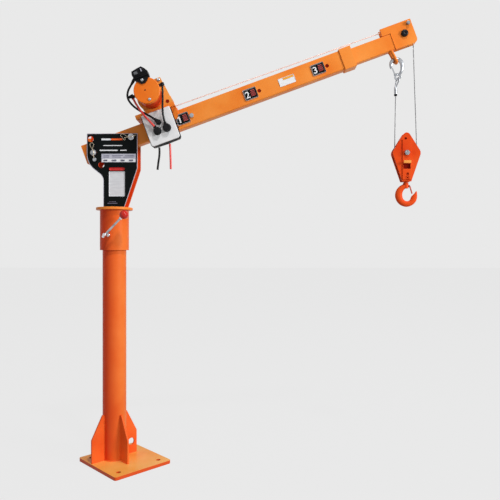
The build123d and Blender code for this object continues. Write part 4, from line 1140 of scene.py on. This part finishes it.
@dataclass
class MainBoom:
    """Outer boom with its numbered labels and painted shade in its holes."""

    label_y: float = -27.3
    labels: tuple[tuple[str, float], ...] = (("1", 364.0), ("2", 716.0), ("3", 1066.0))
    holes: tuple[float, ...] = (761.0, 1112.0)
    bars: tuple[tuple[float, float, float], ...] = (
        (20, 3.4, 15), (23, 2.2, 8), (23, 2.2, 3), (23, 2.2, -2), (23, 2.2, -7), (23, 2.2, -12),
    )

    def build(self) -> None:
        """Dress the boom and add labels, dark discs of painted shade in the holes, and welds."""
        dress(Finish.BOOM_COAT, "boom_tube", "boom_sleeve", "winch_bed")
        dress(Finish.ZINC, "lock_bolt")
        for digit, u in self.labels:
            self.add_label(digit, u)
        y = self.label_y
        stick(Finish.FOIL_WHITE, "white_label", (82, 0.6, 40), (905, y, 0), 2)
        stick(Finish.FOIL_AMBER, "amber_strip", (54, 0.2, 10), (915, y - 0.4, 12.5), 1)
        # Painted shade: a dark red disc inside each hole.
        for index, u in enumerate(self.holes):
            hole_shade = Bench.turned(
                f"painted_hole_shade_{index}", [(0, 8.6), (0.6, 8.6)], on_boom(u, -24.4, 0), sides=32,
                smooth=0,
            )
            fit(hole_shade, Finish.SHADE_COAT, Body.BOOM)
        self.add_welds()

    def add_label(self, digit: str, u: float) -> None:
        """Add one numbered position label.

        Args:
            digit: The number on it.
            u: Centre along the boom.
        """
        y = self.label_y
        stick(Finish.FOIL_PALE, f"label_edge_{digit}", (66, 0.5, 54), (u, y, 0), 4)
        stick(Finish.FOIL_BLACK, f"label_{digit}", (61, 0.6, 49), (u, y - 0.1, 0), 3)
        number = self.one(u, y - 0.6) if digit == "1" else self.numeral(digit, u, y - 0.5)
        fit(Bench.place(number, BOOM_FRAME), Finish.FOIL_WHITE, Body.BOOM)
        bars = [
            Bench.slab("bar", (width, 0.25, height), (u + 13, y - 0.55, v), 0.9)
            for width, height, v in self.bars
        ]
        block = Bench.place(Bench.join(f"red_bars_{digit}", bars), BOOM_FRAME)
        fit(block, Finish.FOIL_PINK, Body.BOOM)

    @staticmethod
    def numeral(digit: str, u: float, y: float) -> bpy.types.Object:
        """Make a number as flat text in the boom's frame.

        Args:
            digit: The number.
            u: Middle of its label along the boom.
            y: Where its face lies.

        Returns:
            The number.
        """
        Bench.put_down()
        bpy.ops.object.text_add(location=mm(u - 27, y, -16), rotation=(pi / 2, 0, 0))
        number = bpy.context.object
        number.name = f"number_{digit}"
        number.data.body = digit
        number.data.size = 46 * MM
        number.data.extrude = 0.1 * MM
        number.data.offset = 0.6 * MM
        bpy.ops.object.convert(target="MESH")
        return bpy.context.object

    @staticmethod
    def one(u: float, y: float) -> bpy.types.Object:
        """Cut the figure one with its flag, in the boom's frame."""
        corners = ((-19, -16), (-12, -16), (-12, 17), (-18, 17), (-27, 11), (-25.5, 6), (-19, 10))
        return Bench.plate("number_1", [(u + x, z) for x, z in corners], y, 0.2)

    def add_welds(self) -> None:
        """Lay the beads round the sleeve's rear edge and at the winch bed."""
        corners = ((-28, -46), (28, -46), (28, 51), (-28, 51), (-28, -46))
        runs = [[on_boom(1189.5, y, v) for y, v in corners]]
        runs += [[on_boom(u, hand * 28, 11) for u in (184, 340)] for hand, _ in HANDS]
        beads = [Bench.weld_line("boom_weld", run, 2.2) for run in runs]
        fit(Bench.join("boom_welds", beads), Finish.BOOM_COAT, Body.BOOM)


@dataclass
class Winch:
    """Electric winch: motor, frame, drum, gearbox and its socket."""

    drum: Flat = (258.0, 143.0)
    motor_front: float = -175.0
    wound_r: float = 60.6
    wound_turns: int = 18
    wound_pitch: float = 4.85

    def build(self) -> None:
        """Dress the winch and add its fastenings and wound rope."""
        dress(Finish.WINCH_COAT, "winch_motor", "winch_gearbox")
        dress(Finish.FRAME_COAT, "winch_frame")
        dress(Finish.MACHINED, "winch_drum")
        dress(Finish.HOUSING, "socket_box")
        self.add_cap_details()
        self.add_socket_front()
        self.add_socket_trim()
        self.add_terminals()
        self.add_wound_rope()

    def add_terminals(self) -> None:
        """Add the motor's terminal studs, the lug between them and the left boot."""
        steps = [(0, 6), (6, 5.6), (9, 4.6), (10, 2.6)]
        caps = [
            Bench.turned("stud", steps, on_boom(u, -113, v), sides=24)
            for u, v in ((320.5, 165.0), (336.0, 161.5))
        ]
        boot = [mm(98.5, -119, 1758.5), mm(108, -120, 1766), mm(119, -120, 1770.5)]
        caps.append(Bench.wire("left_boot", boot, 7))
        fit(Bench.join("terminal_caps", caps), Finish.RUBBER, Body.BOOM)
        lug = Bench.soften(Bench.slab("terminal_lug", (20, 2, 8), (0, 0, 0), 3), 0.4)
        Bench.place(lug, Matrix.Translation(on_boom(327, -115, 160)))
        fit(lug, Finish.ZINC, Body.BOOM)

    def add_cap_details(self) -> None:
        """Add the end cap's screws and plug, the frame's ear bolt and a dark ring of painted shade in
        the frame's hole.
        """
        for name, sizes, place in (
            ("cap_screw_0", (9, 4, 7), (258.3, -175.0, 98.9)),
            ("cap_screw_1", (9, 4, 7), (255.8, -179.2, 193.5)),
            ("ear_bolt", (12, 6, 8.5), (319.3, -56, 210.8)),
        ):
            fit(HexBolt(*sizes).build(name, on_boom(*place)), Finish.ZINC, Body.BOOM)
        # Painted shade: a dark red ring inside the frame's hole.
        hole_shade = Bench.turned(
            "frame_hole_shade", [(0, 6.4), (1, 8.6), (1.6, 8.6), (2, 7.6), (0.6, 3)],
            on_boom(325, -55.4, 98), sides=32,
        )
        fit(hole_shade, Finish.SHADE_COAT, Body.BOOM)
        plug = Bench.turned(
            "cap_plug", [(0, 3.4), (0.5, 3.4), (0.9, 2.6)], on_boom(252, self.motor_front, 146),
            sides=24,
        )
        fit(plug, Finish.HOUSING, Body.BOOM)

    def add_socket_front(self) -> None:
        """Add the socket's rim, lid and ribs."""
        outline = [
            (222, 212), (220.5, 227), (224, 241), (252, 246.5), (270, 248.5), (282, 236),
            (290, 223), (289, 212),
        ]
        lid = [(228, 216), (227, 237), (251, 241), (256, 216)]
        plates = [("socket_rim", outline, -191, 3, 0.8), ("socket_lid", lid, -194, 3, 0.8)]
        for index in range(4):
            left, top = 262 + 6 * index, 242 - 4 * index
            rib = [(left, 216), (left, top), (left + 3, top - 1), (left + 3, 216)]
            plates.append(("socket_rib", rib, -193.5, 2.5, 0.5))
        pieces = [
            Bench.soften(Bench.plate(name, corners, front, depth), edge)
            for name, corners, front, depth, edge in plates
        ]
        housing = Bench.place(Bench.join("socket_front", pieces), BOOM_FRAME)
        fit(housing, Finish.HOUSING, Body.BOOM)

    @staticmethod
    def add_socket_trim() -> None:
        """Add the socket's window, bright bar and cable sleeve."""
        stick(Finish.WINDOW, "socket_window", (18, 0.6, 14), (239.5, -194.3, 228), 1.5)
        stick(Finish.FOIL_SILVER, "socket_bar", (5, 0.6, 15), (267.5, -194, 233), 1)
        mouth, inner = on_boom(216.5, -160, 212), on_boom(195, -152, 197)
        sleeve = Bench.turned(
            "socket_sleeve",
            [(-2, 7.4), (4, 7.8), (5, 7), (10, 6.9), (11, 6.4), (16, 6.3), (17, 5.9), (22, 5.7)],
            mouth, inner - mouth, sides=24,
        )
        fit(sleeve, Finish.RUBBER, Body.BOOM)

    def add_wound_rope(self) -> None:
        """Wind the rope on the drum, turn beside turn."""
        middle = (self.wound_turns - 1) / 2
        turns = [
            Bench.torus(
                "turn", self.wound_r, 2.35, 96, rotation=(pi / 2, 0, 0),
                location=mm(0, (step - middle) * self.wound_pitch, 0),
            )
            for step in range(self.wound_turns)
        ]
        core = Bench.turned("core", [(-43, 59), (43, 59)], sides=96, smooth=0)
        turns.append(Bench.place(core, Matrix.Rotation(pi / 2, 4, "X")))
        wound = Bench.shade(Bench.join("drum_windings", turns), 60)
        Bench.place(wound, Matrix.Translation(on_boom(self.drum[0], 0, self.drum[1])))
        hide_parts("wound_rope")
        fit(wound, Finish.ROPE, Body.BOOM)


@dataclass
class ControlBox:
    """Relay box on the boom's side, with its stud boots, dark bands of painted shade on its sides and
    side screws.
    """

    front: float = -88.0
    sides: tuple[float, float, float, float] = (182.0, 326.0, -92.0, 65.8)
    boots: tuple[Point, ...] = ((252.0, 8.0, 11.0), (233.0, -30.0, 17.0), (281.0, -30.0, 18.0))
    # Painted shade: the number, pitch and radius of the dark bands over the sides.
    shade_bands: int = 9
    band_pitch: float = 5.0
    band_r: float = 2.9

    def build(self) -> None:
        """Dress the box and build the painted shade on its sides, the boots and the screws."""
        dress(Finish.SILVER_BOX, "control_box")
        dress(Finish.RUBBER, "cable_boots")
        self.add_side_shade()
        self.add_boots()
        self.add_screws()

    def add_side_shade(self) -> None:
        """Run dark rubber bands down the box's sides and along its foot, behind the front shell, as
        painted shade on the side faces.
        """
        left, right, low, high = self.sides
        corners = (
            (left, high - 6), (left, low + 12), (left + 3.5, low + 3.5), (left + 12, low),
            (right - 12, low), (right - 3.5, low + 3.5), (right, low + 12), (right, high - 6),
        )
        bands = []
        for index in range(self.shade_bands):
            y = self.front + 7 + self.band_pitch * index
            points = [on_boom(u, y, v) for u, v in corners]
            bands.append(Bench.wire("shade_band", points, self.band_r, 2, 1))
        fit(Bench.join("box_side_shade", bands), Finish.RUBBER, Body.BOOM)

    def add_boots(self) -> None:
        """Add the flange and ridges of each stud boot, and the seat behind them."""
        steps = (
            (0, 2.2), (1.6, 2.2), (2.4, 0.6), (7, 0.5), (8, 1.3), (9.5, 1.3), (10.5, 0.4),
            (15, 0.3), (17.6, -1.6), (18, -4),
        )
        rings = [
            Bench.turned(
                "ring", [(height, radius + more) for height, more in steps],
                on_boom(u, self.front, v), smooth=50,
            )
            for u, v, radius in self.boots
        ]
        fit(Bench.join("boot_rings", rings), Finish.RUBBER, Body.BOOM)
        stick(Finish.SILVER_BOX, "boot_seat", (30, 1.2, 34), (246, self.front - 0.6, -1), 4)

    @staticmethod
    def add_screws() -> None:
        """Add the black screws that stand out of the box's sides."""
        screws = []
        for u, v, hand in ((182.0, 35.0, -1), (326.0, -40.0, 1), (326.0, -20.0, 1)):
            along = on_boom(u + hand, 0, v) - on_boom(u, 0, v)
            screws.append(HexBolt(8, 5, 6).build("screw", on_boom(u, -60, v), along))
        fit(Bench.join("side_screws", screws), Finish.HOUSING, Body.BOOM)


@dataclass
class FlexCable:
    """Cable along a smooth line through its route's points, in metres throughout."""

    name: str
    node: str
    length: float
    finish: Finish
    far_end: str
    route: list[Vector]
    diameter: float = 0.010

    def build(self) -> None:
        cable = Bench.curve(self.name, self.route, self.diameter / 2 / MM, steps=10, rings=4)
        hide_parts(self.node)
        tuple(self.route[0])
        fit(cable, self.finish, Body.BOOM)


@dataclass
class CableSet:
    """Cables between socket, motor and box, and the two battery leads."""

    socket: tuple[Point, ...] = (
        (216.5, -160, 212), (195, -152, 197), (172, -142, 182), (157, -132, 158), (160, -123, 130),
        (177, -114, 98), (203, -107, 68), (226, -102, 45), (240, -99, 27),
    )
    left: tuple[Point, ...] = (
        (180, -118, 146), (183, -121, 122), (189, -121, 97), (196, -119, 72), (206, -114, 43),
        (218, -105, 16), (227, -99, -6),
    )
    right: tuple[Point, ...] = (
        (330, -118, 154), (323, -116, 134), (312, -112, 104), (295, -107, 62), (284, -102, 28),
        (281, -99, -3),
    )
    black: tuple[Point, ...] = (
        (233, -62, 1534), (234.5, -62.5, 1518), (233, -62, 1490), (227.5, -61, 1459),
        (224, -60, 1427),
    )
    red: tuple[Point, ...] = (
        (284, -62, 1552), (286, -61.5, 1530), (286.5, -61, 1495), (288, -60.5, 1460),
        (288, -60, 1430),
    )

    def build(self) -> None:
        """Make the three cables in the boom's frame and the two upright leads."""
        black, red = Finish.JACKET, Finish.RED_JACKET
        for name, node, length, finish, route in (
            ("socket_lead", "socket_cable", 0.248, black, self.socket),
            ("left_lead", "motor_cable_left", 0.1625, red, self.left),
            ("right_lead", "motor_cable_right", 0.1663, black, self.right),
        ):
            points = [on_boom(*point) for point in route]
            FlexCable(name, node, length, finish, "object", points).build()
        for name, node, length, finish, route in (
            ("black_tail", "battery_lead_black", 0.1078, black, self.black),
            ("red_tail", "battery_lead_red", 0.1221, red, self.red),
        ):
            points = [mm(*point) for point in route]
            FlexCable(name, node, length, finish, "bare", points).build()


@dataclass
class WireRope:
    """Stranded wire rope laid from six strands."""

    radius: float = 2.4
    lay: float = 34.0
    pitch: float = 3.0
    strands: int = 6

    def straight(self, name: str, length: float) -> bpy.types.Object:
        """Lay a straight rope along +Z from the origin.

        Args:
            name: Name of the piece.
            length: Length, in metres.

        Returns:
            The rope.
        """
        strand_r = self.radius / 3 * MM
        count = max(1, round(length / (self.pitch * MM)))
        step = length / count
        strands = []
        for index in range(self.strands):
            Bench.put_down()
            angle = tau * index / self.strands
            bpy.ops.mesh.primitive_cylinder_add(
                vertices=6, radius=strand_r * 1.04, depth=step, end_fill_type="NOTHING",
                location=(2 * strand_r * cos(angle), 2 * strand_r * sin(angle), step / 2),
            )
            strands.append(Bench.made("strand"))
        rope = Bench.join(name, strands)
        Bench.modify(
            rope, "ARRAY", count=count, use_relative_offset=False, use_constant_offset=True,
            constant_offset_displace=(0, 0, step), use_merge_vertices=True, merge_threshold=1e-6,
        )
        twist = tau * length / (self.lay * MM)
        Bench.modify(rope, "SIMPLE_DEFORM", deform_method="TWIST", deform_axis="Z", angle=twist)
        Bench.edit(rope, "SELECT", "EDGE")
        bpy.ops.mesh.fill_holes(sides=0)
        Bench.put_down()
        return Bench.shade(Bench.face_out(rope), 60)

    def along(self, name: str, points: list[Vector]) -> bpy.types.Object:
        """Lay a rope along a curved line.

        Args:
            name: Name of the piece.
            points: Points of the line, close together.

        Returns:
            The rope.
        """
        rope = self.straight(name, sum((b - a).length for a, b in zip(points, points[1:])))
        line = Bench.curve(name + "_line", points, kind="POLY")
        Bench.modify(rope, "CURVE", object=line, deform_axis="POS_Z")
        bpy.data.objects.remove(line)
        return rope


@dataclass
class Reeving:
    """Ropes over the boom, over the tip sheave and down to the block."""

    drum: Flat = (258.0, 143.0)
    drum_r: float = 63.0
    tip: Flat = (1521.0, 20.0)
    tip_r: float = 46.0
    lead_arc: float = 32.0
    block: Flat = (1433.5, 1513.0)
    block_r: float = 54.5
    dead_angle: float = 179.4
    ferrule: Flat = (1384.0, 1797.0)
    rope: WireRope = field(default_factory=WireRope)

    def build(self) -> None:
        """Lay the four stretches of rope."""
        axle = (on_boom(self.tip[0], 0, self.tip[1]) / MM).xz
        near, far, run_angle = self.tangent(self.drum, self.drum_r, self.tip, self.tip_r, True)
        _, foot, fall_angle = self.tangent(axle, self.tip_r, self.block, self.block_r, False)
        start, end = on_boom(near[0], 0, near[1]), on_boom(far[0], 0, far[1])
        top_angle, lead_angle = run_angle + 20, fall_angle + self.lead_arc
        run = self.rope.straight("run_rope", (end - start).length)
        Bench.stand(run, start, end - start)
        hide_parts("rope_run")
        # The running rope carries the pink painted reflection.
        self.stretch(run, Finish.RUN_ROPE_REFLECTION, (Body.BOOM, Body.EXTENSION), start, end)
        wrap = self.rope.along("tip_wrap", self.arc(axle, self.tip_r, top_angle, lead_angle))
        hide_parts("tip_rope")
        fit(wrap, Finish.ROPE, Body.EXTENSION)
        lead = self.arc(axle, self.tip_r, lead_angle, fall_angle)
        drop = self.spread(lead[-1], mm(foot[0], 0, foot[1]))
        fall = self.rope.along("live_rope", lead + drop[1:])
        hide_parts("live_fall")
        self.stretch(fall, Finish.ROPE, (Body.EXTENSION, Body.LIVE), lead[0], lead[-1])
        bend = self.arc(self.block, self.block_r, self.dead_angle, 360 + fall_angle)
        straight = self.spread(mm(self.ferrule[0], 0, self.ferrule[1]), bend[0])
        dead = self.rope.along("dead_rope", straight[:-1] + bend)
        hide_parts("dead_fall")
        fit(dead, Finish.ROPE, Body.FALL)

    @staticmethod
    def stretch(
        piece: bpy.types.Object, finish: Finish, bodies: tuple[Body, Body], start: Vector, end: Vector
    ) -> None:
        """Paint a rope and take its place into its mesh.

        Args:
            piece: The rope.
            finish: Its finish.
            bodies: The bodies at its two ends; the rope is not attached to them.
            start: Where it begins to leave the first body; not used.
            end: Where it is wholly on the second; not used.
        """
        piece.data.materials.append(PAINTS[finish])
        bodies[0].value
        bodies[1].value
        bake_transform(piece)

    @staticmethod
    def spread(start: Vector, end: Vector) -> list[Vector]:
        """Return points from start to end, no more than 4 mm apart."""
        count = ceil((end - start).length / (4 * MM))
        return [start + (end - start) * (index / count) for index in range(count + 1)]

    @staticmethod
    def arc(centre: Flat, radius: float, start: float, end: float) -> list[Vector]:
        """Return points of an upright arc, no more than 3 degrees apart.

        Args:
            centre: X and Z of its centre.
            radius: Its radius.
            start: First angle, in degrees.
            end: Last angle, in degrees.

        Returns:
            The points, in metres.
        """
        steps = max(6, ceil(abs(end - start) / 3))
        angles = [radians(start + (end - start) * index / steps) for index in range(steps + 1)]
        return [mm(centre[0] + radius * cos(a), 0, centre[1] + radius * sin(a)) for a in angles]

    @staticmethod
    def tangent(
        first: Flat, first_r: float, second: Flat, second_r: float, crossed: bool
    ) -> tuple[Flat, Flat, float]:
        """Return the ends of a straight rope between two wheels, and its normal's angle.

        Args:
            first: Centre of the first wheel.
            first_r: Its rope radius.
            second: Centre of the second wheel.
            second_r: Its rope radius.
            crossed: Whether the rope crosses from one side to the other.

        Returns:
            Both ends and the angle in degrees.
        """
        across = Vector((second[0] - first[0], second[1] - first[1]))
        offset = -(first_r + second_r) if crossed else first_r - second_r
        level = Vector((1, 0))
        slope = Vector((offset, (across.length**2 - offset**2) ** 0.5))
        turn = slope.angle_signed(level) - level.angle_signed(across)
        sign = -1 if crossed else 1
        x, z = cos(turn), sin(turn)
        near = (first[0] + sign * first_r * x, first[1] + sign * first_r * z)
        return near, (second[0] + second_r * x, second[1] + second_r * z), turn * 180 / pi


@dataclass
class BoomTip:
    """Extension tube, tip plates, sheave and lug."""

    axle: Flat = (1521.0, 20.0)
    keeper: Flat = (1553.5, 60.5)
    cap_y: float = 27.0
    seam_u: float = 1456.5
    lug: Flat = (1433.0, -37.5)

    def build(self) -> None:
        """Dress the tip and add caps, the keeper's nut and welds."""
        dress(Finish.BOOM_COAT, "extension_tube", "tip_plates", "anchor_lug")
        dress(Finish.MACHINED, "tip_sheave")
        dress(Finish.HOUSING, "tip_pins")
        self.add_caps()
        self.add_welds()

    def add_caps(self) -> None:
        """Add the domed axle caps and the keeper's bright nuts on both sides."""
        steps = [(0, 17), (1, 16.6), (2.6, 14.4), (3.4, 9), (3.4, 5), (2.6, 4.2)]
        for hand, word in HANDS:
            out, y = Vector((0, hand, 0)), hand * self.cap_y
            cap = Bench.turned(
                f"axle_cap_{word}", steps, on_boom(self.axle[0], y, self.axle[1]), out, smooth=50
            )
            fit(cap, Finish.HOUSING, Body.EXTENSION)
            seat = on_boom(self.keeper[0], y, self.keeper[1])
            nut = HexBolt(14, 5, 9.2).build(f"keeper_nut_{word}", seat, out)
            fit(nut, Finish.ZINC, Body.EXTENSION)

    def add_welds(self) -> None:
        """Lay the beads at the tip's seam and round the lug's roots."""
        beads = [
            Bench.weld_line(
                "seam", [on_boom(self.seam_u, hand * 20.5, v) for v in (-37, 42)], 2.6
            )
            for hand, _ in HANDS
        ]
        down = on_boom(0, 0, -1) - on_boom(0, 0, 0)
        for hand, _ in HANDS:
            ring = Bench.weld_ring("lug_weld", 0, 7.4, 1.9)
            beads.append(Bench.stand(ring, on_boom(self.lug[0], hand * 16, self.lug[1]), down))
        fit(Bench.join("tip_welds", beads), Finish.BOOM_COAT, Body.EXTENSION)


@dataclass
class HookBlock:
    """Hook block, load hook and anchor hook."""

    centre: Flat = (1433.5, 1513.0)
    ferrule: tuple[float, float, float] = (1384.0, 1797.0, 1838.0)

    def build(self) -> None:
        """Dress the block and hooks, and add nuts, painted shade in its windows and holes, and the
        ferrule's crimps.
        """
        dress(Finish.BLOCK, "block_cheeks", "load_hook", "hook_latch")
        dress(Finish.MACHINED, "block_sheave")
        dress(Finish.ZINC, "block_pins", "anchor_hook", "anchor_latch", "rope_eye")
        self.add_nuts()
        self.add_shades()
        self.add_ferrule()

    @staticmethod
    def add_shades() -> None:
        """Close the windows from inside with dark plates, paint shade into the holes and round the
        rivets, and add the tab's lip in a lighter orange as a painted highlight.
        """
        # Painted shade: dark red plates behind the windows, discs in the holes and rings round the
        # rivets.
        shades = [
            Bench.slab("window_shade", (40, 1, 30), (1433, hand * 14.9, 1448), 2) for hand, _ in HANDS
        ]
        for x, y, z, radius in (
            (1428.0, -17.0, 1583.0, 5.8), (1436.5, -21.4, 1410.0, 3.8), (1436.5, -21.4, 1392.0, 3.8),
        ):
            steps = [(0, radius), (0.6, radius)]
            shades.append(Bench.turned("hole_shade", steps, mm(x, y, z), sides=24, smooth=0))
        for z, radius in ((1392.0, 8.4), (1410.0, 6.0)):
            ring = Bench.weld_ring("rivet_shade_ring", 0, radius, 0.8)
            shades.append(Bench.stand(ring, mm(1436.5, -24.6, z), FRONT))
        block = Bench.join("block_shades", shades)
        fit(block, Finish.SHADE_COAT, Body.FALL)
        # Painted highlight: the tab's lip is in the lighter frame orange where it catches the light.
        lip = Bench.soften(Bench.slab("tab_lip_highlight", (36, 1.2, 14), (1433, -35.6, 1468), 1), 0.4)
        fit(lip, Finish.FRAME_COAT, Body.FALL)

    def add_nuts(self) -> None:
        """Add the domed ends of the sheave's bolt and the latch pins' rivet heads."""
        end_steps = [(0, 8), (3, 8), (4.4, 6.6), (4.8, 3)]
        rivet_steps = [(0, 2.9), (0.6, 2.8), (1.3, 2), (1.5, 0.8)]
        for hand, word in HANDS:
            out, seat = Vector((0, hand, 0)), mm(self.centre[0], hand * 32.5, self.centre[1])
            end = Bench.turned(f"bolt_end_{word}", end_steps, seat, out)
            fit(end, Finish.ZINC, Body.FALL)
            pin = mm(1452, hand * 6.8, 1352)
            rivet = Bench.turned(f"latch_rivet_{word}", rivet_steps, pin, out, sides=20)
            fit(rivet, Finish.ZINC, Body.HOOK_LATCH)

    def add_ferrule(self) -> None:
        """Add the crimped ferrule's ridges and its dark lower end."""
        x, low, high = self.ferrule
        steps = [(0, 7.1)]
        for foot in (1, 11, 21):
            steps += [(foot, 7.8), (foot + 4, 7.8), (foot + 5, 7.2), (foot + 9, 7.2)]
        steps[-2:] = [(26, 7.1)]
        ridges = Bench.turned("ferrule_ridges", steps, mm(x, 0, high - 27), UP)
        fit(ridges, Finish.ZINC, Body.FALL)
        steps = [(0, 5), (1, 7.4), (8, 7.6), (9, 7.1)]
        collar = Bench.turned("ferrule_foot", steps, mm(x, 0, low - 2), UP)
        fit(collar, Finish.RUBBER, Body.FALL)


@dataclass
class Studio:
    """Pale floor, soft light and the camera at the photograph's viewing angle."""

    paper: Colour = (0.815, 0.815, 0.815)
    camera_place: Point = (0.7094, -2.7454, 1.0397)
    camera_turn: float = 0.829
    lens: float = 40.14
    sky: float = 0.34
    floor_share: float = 0.93
    floor_glow: float = 1.03
    lamp_aim: Point = (0.7, 0.0, 1.5)
    lamps: tuple[tuple[str, Point, float, float], ...] = (
        ("key_softbox", (8.2, -4.2, 3.6), 2.4, 560.0),
        ("high_softbox", (2.9, -4.4, 8.9), 0.9, 380.0),
    )

    def build(self) -> None:
        """Set the camera, the light and the floor."""
        self.add_camera()
        self.add_sky()
        self.add_lamps()
        self.add_floor()
        bpy.context.scene.view_settings.view_transform = "Standard"

    def add_camera(self) -> None:
        """Stand the camera level, as the photograph's was."""
        lens = bpy.data.cameras.new("camera")
        lens.lens = self.lens
        lens.sensor_width = 36.0
        camera = bpy.data.objects.new("camera", lens)
        camera.location = self.camera_place
        camera.rotation_euler = (pi / 2, 0, radians(self.camera_turn))
        bpy.context.scene.collection.objects.link(camera)
        bpy.context.scene.camera = camera

    def add_sky(self) -> None:
        """Light the crane from an even sky, with the plain paper behind it."""
        world = bpy.data.worlds.new("studio")
        bpy.context.scene.world = world
        world.use_nodes = True
        tree = world.node_tree
        tree.nodes.clear()
        kind, paper = "ShaderNodeBackground", (*self.paper, 1)
        sky = add_node(tree, kind, Color=(1, 1, 1, 1), Strength=self.sky)
        seen = add_node(tree, kind, Color=paper, Strength=1.0)
        self.part_rays(add_node(tree, "ShaderNodeOutputWorld"), sky, seen, 1.0)

    def add_lamps(self) -> None:
        """Hang the two softboxes and aim them at the crane."""
        for name, place, size, power in self.lamps:
            light = bpy.data.lights.new(name, "AREA")
            light.shape = "SQUARE"
            light.size = size
            light.energy = power
            lamp = bpy.data.objects.new(name, light)
            lamp.location = place
            way = Vector(self.lamp_aim) - Vector(place)
            lamp.rotation_euler = way.to_track_quat("-Z", "Y").to_euler()
            bpy.context.scene.collection.objects.link(lamp)

    @staticmethod
    def part_rays(
        output: bpy.types.Node, lit: bpy.types.Node, seen: bpy.types.Node, share: float
    ) -> None:
        """Let one shader light the crane and another show to the eye.

        Args:
            output: The tree's output.
            lit: Shader for the rays that light.
            seen: Shader for camera, glossy and transmitted rays.
            share: Share of the second shader in what those rays meet.
        """
        tree = output.id_data
        path = add_node(tree, "ShaderNodeLightPath")
        total = path.outputs["Is Camera Ray"]
        for ray in ("Is Glossy Ray", "Is Transmission Ray"):
            most = add_node(tree, "ShaderNodeMath", operation="MAXIMUM")
            tree.links.new(total, most.inputs[0])
            tree.links.new(path.outputs[ray], most.inputs[1])
            total = most.outputs[0]
        scale = add_node(tree, "ShaderNodeMath", operation="MULTIPLY")
        scale.inputs[1].default_value = share
        tree.links.new(total, scale.inputs[0])
        mix = add_node(tree, "ShaderNodeMixShader")
        for index, node in enumerate((scale, lit, seen)):
            tree.links.new(node.outputs[0], mix.inputs[index])
        tree.links.new(mix.outputs[0], output.inputs[0])

    def add_floor(self) -> None:
        """Lay the plain floor just under the base plate."""
        Bench.put_down()
        bpy.ops.mesh.primitive_plane_add(size=60, location=(0, 0, -0.0005))
        floor = Bench.made("floor")
        material = bpy.data.materials.new("floor_paper")
        material.use_nodes = True
        tree = material.node_tree
        tree.nodes.clear()
        paper = add_node(tree, "ShaderNodeBsdfDiffuse", Color=(0.5, 0.5, 0.5, 1))
        glow = add_node(
            tree, "ShaderNodeEmission", Color=(*self.paper, 1), Strength=self.floor_glow
        )
        output = add_node(tree, "ShaderNodeOutputMaterial")
        self.part_rays(output, paper, glow, self.floor_share)
        floor.data.materials.append(material)


def main() -> None:
    """Build the studio, then every sub-assembly of the crane."""
    assemblies = (
        Studio(), CableSet(), Pedestal(), SlewHead(), ClampLever(), MainBoom(), Winch(),
        ControlBox(), BoomTip(), Reeving(), HookBlock(),
    )
    for assembly in assemblies:
        log.info("building %s", type(assembly).__name__)
        assembly.build()


if __name__ == "__main__":
    main()
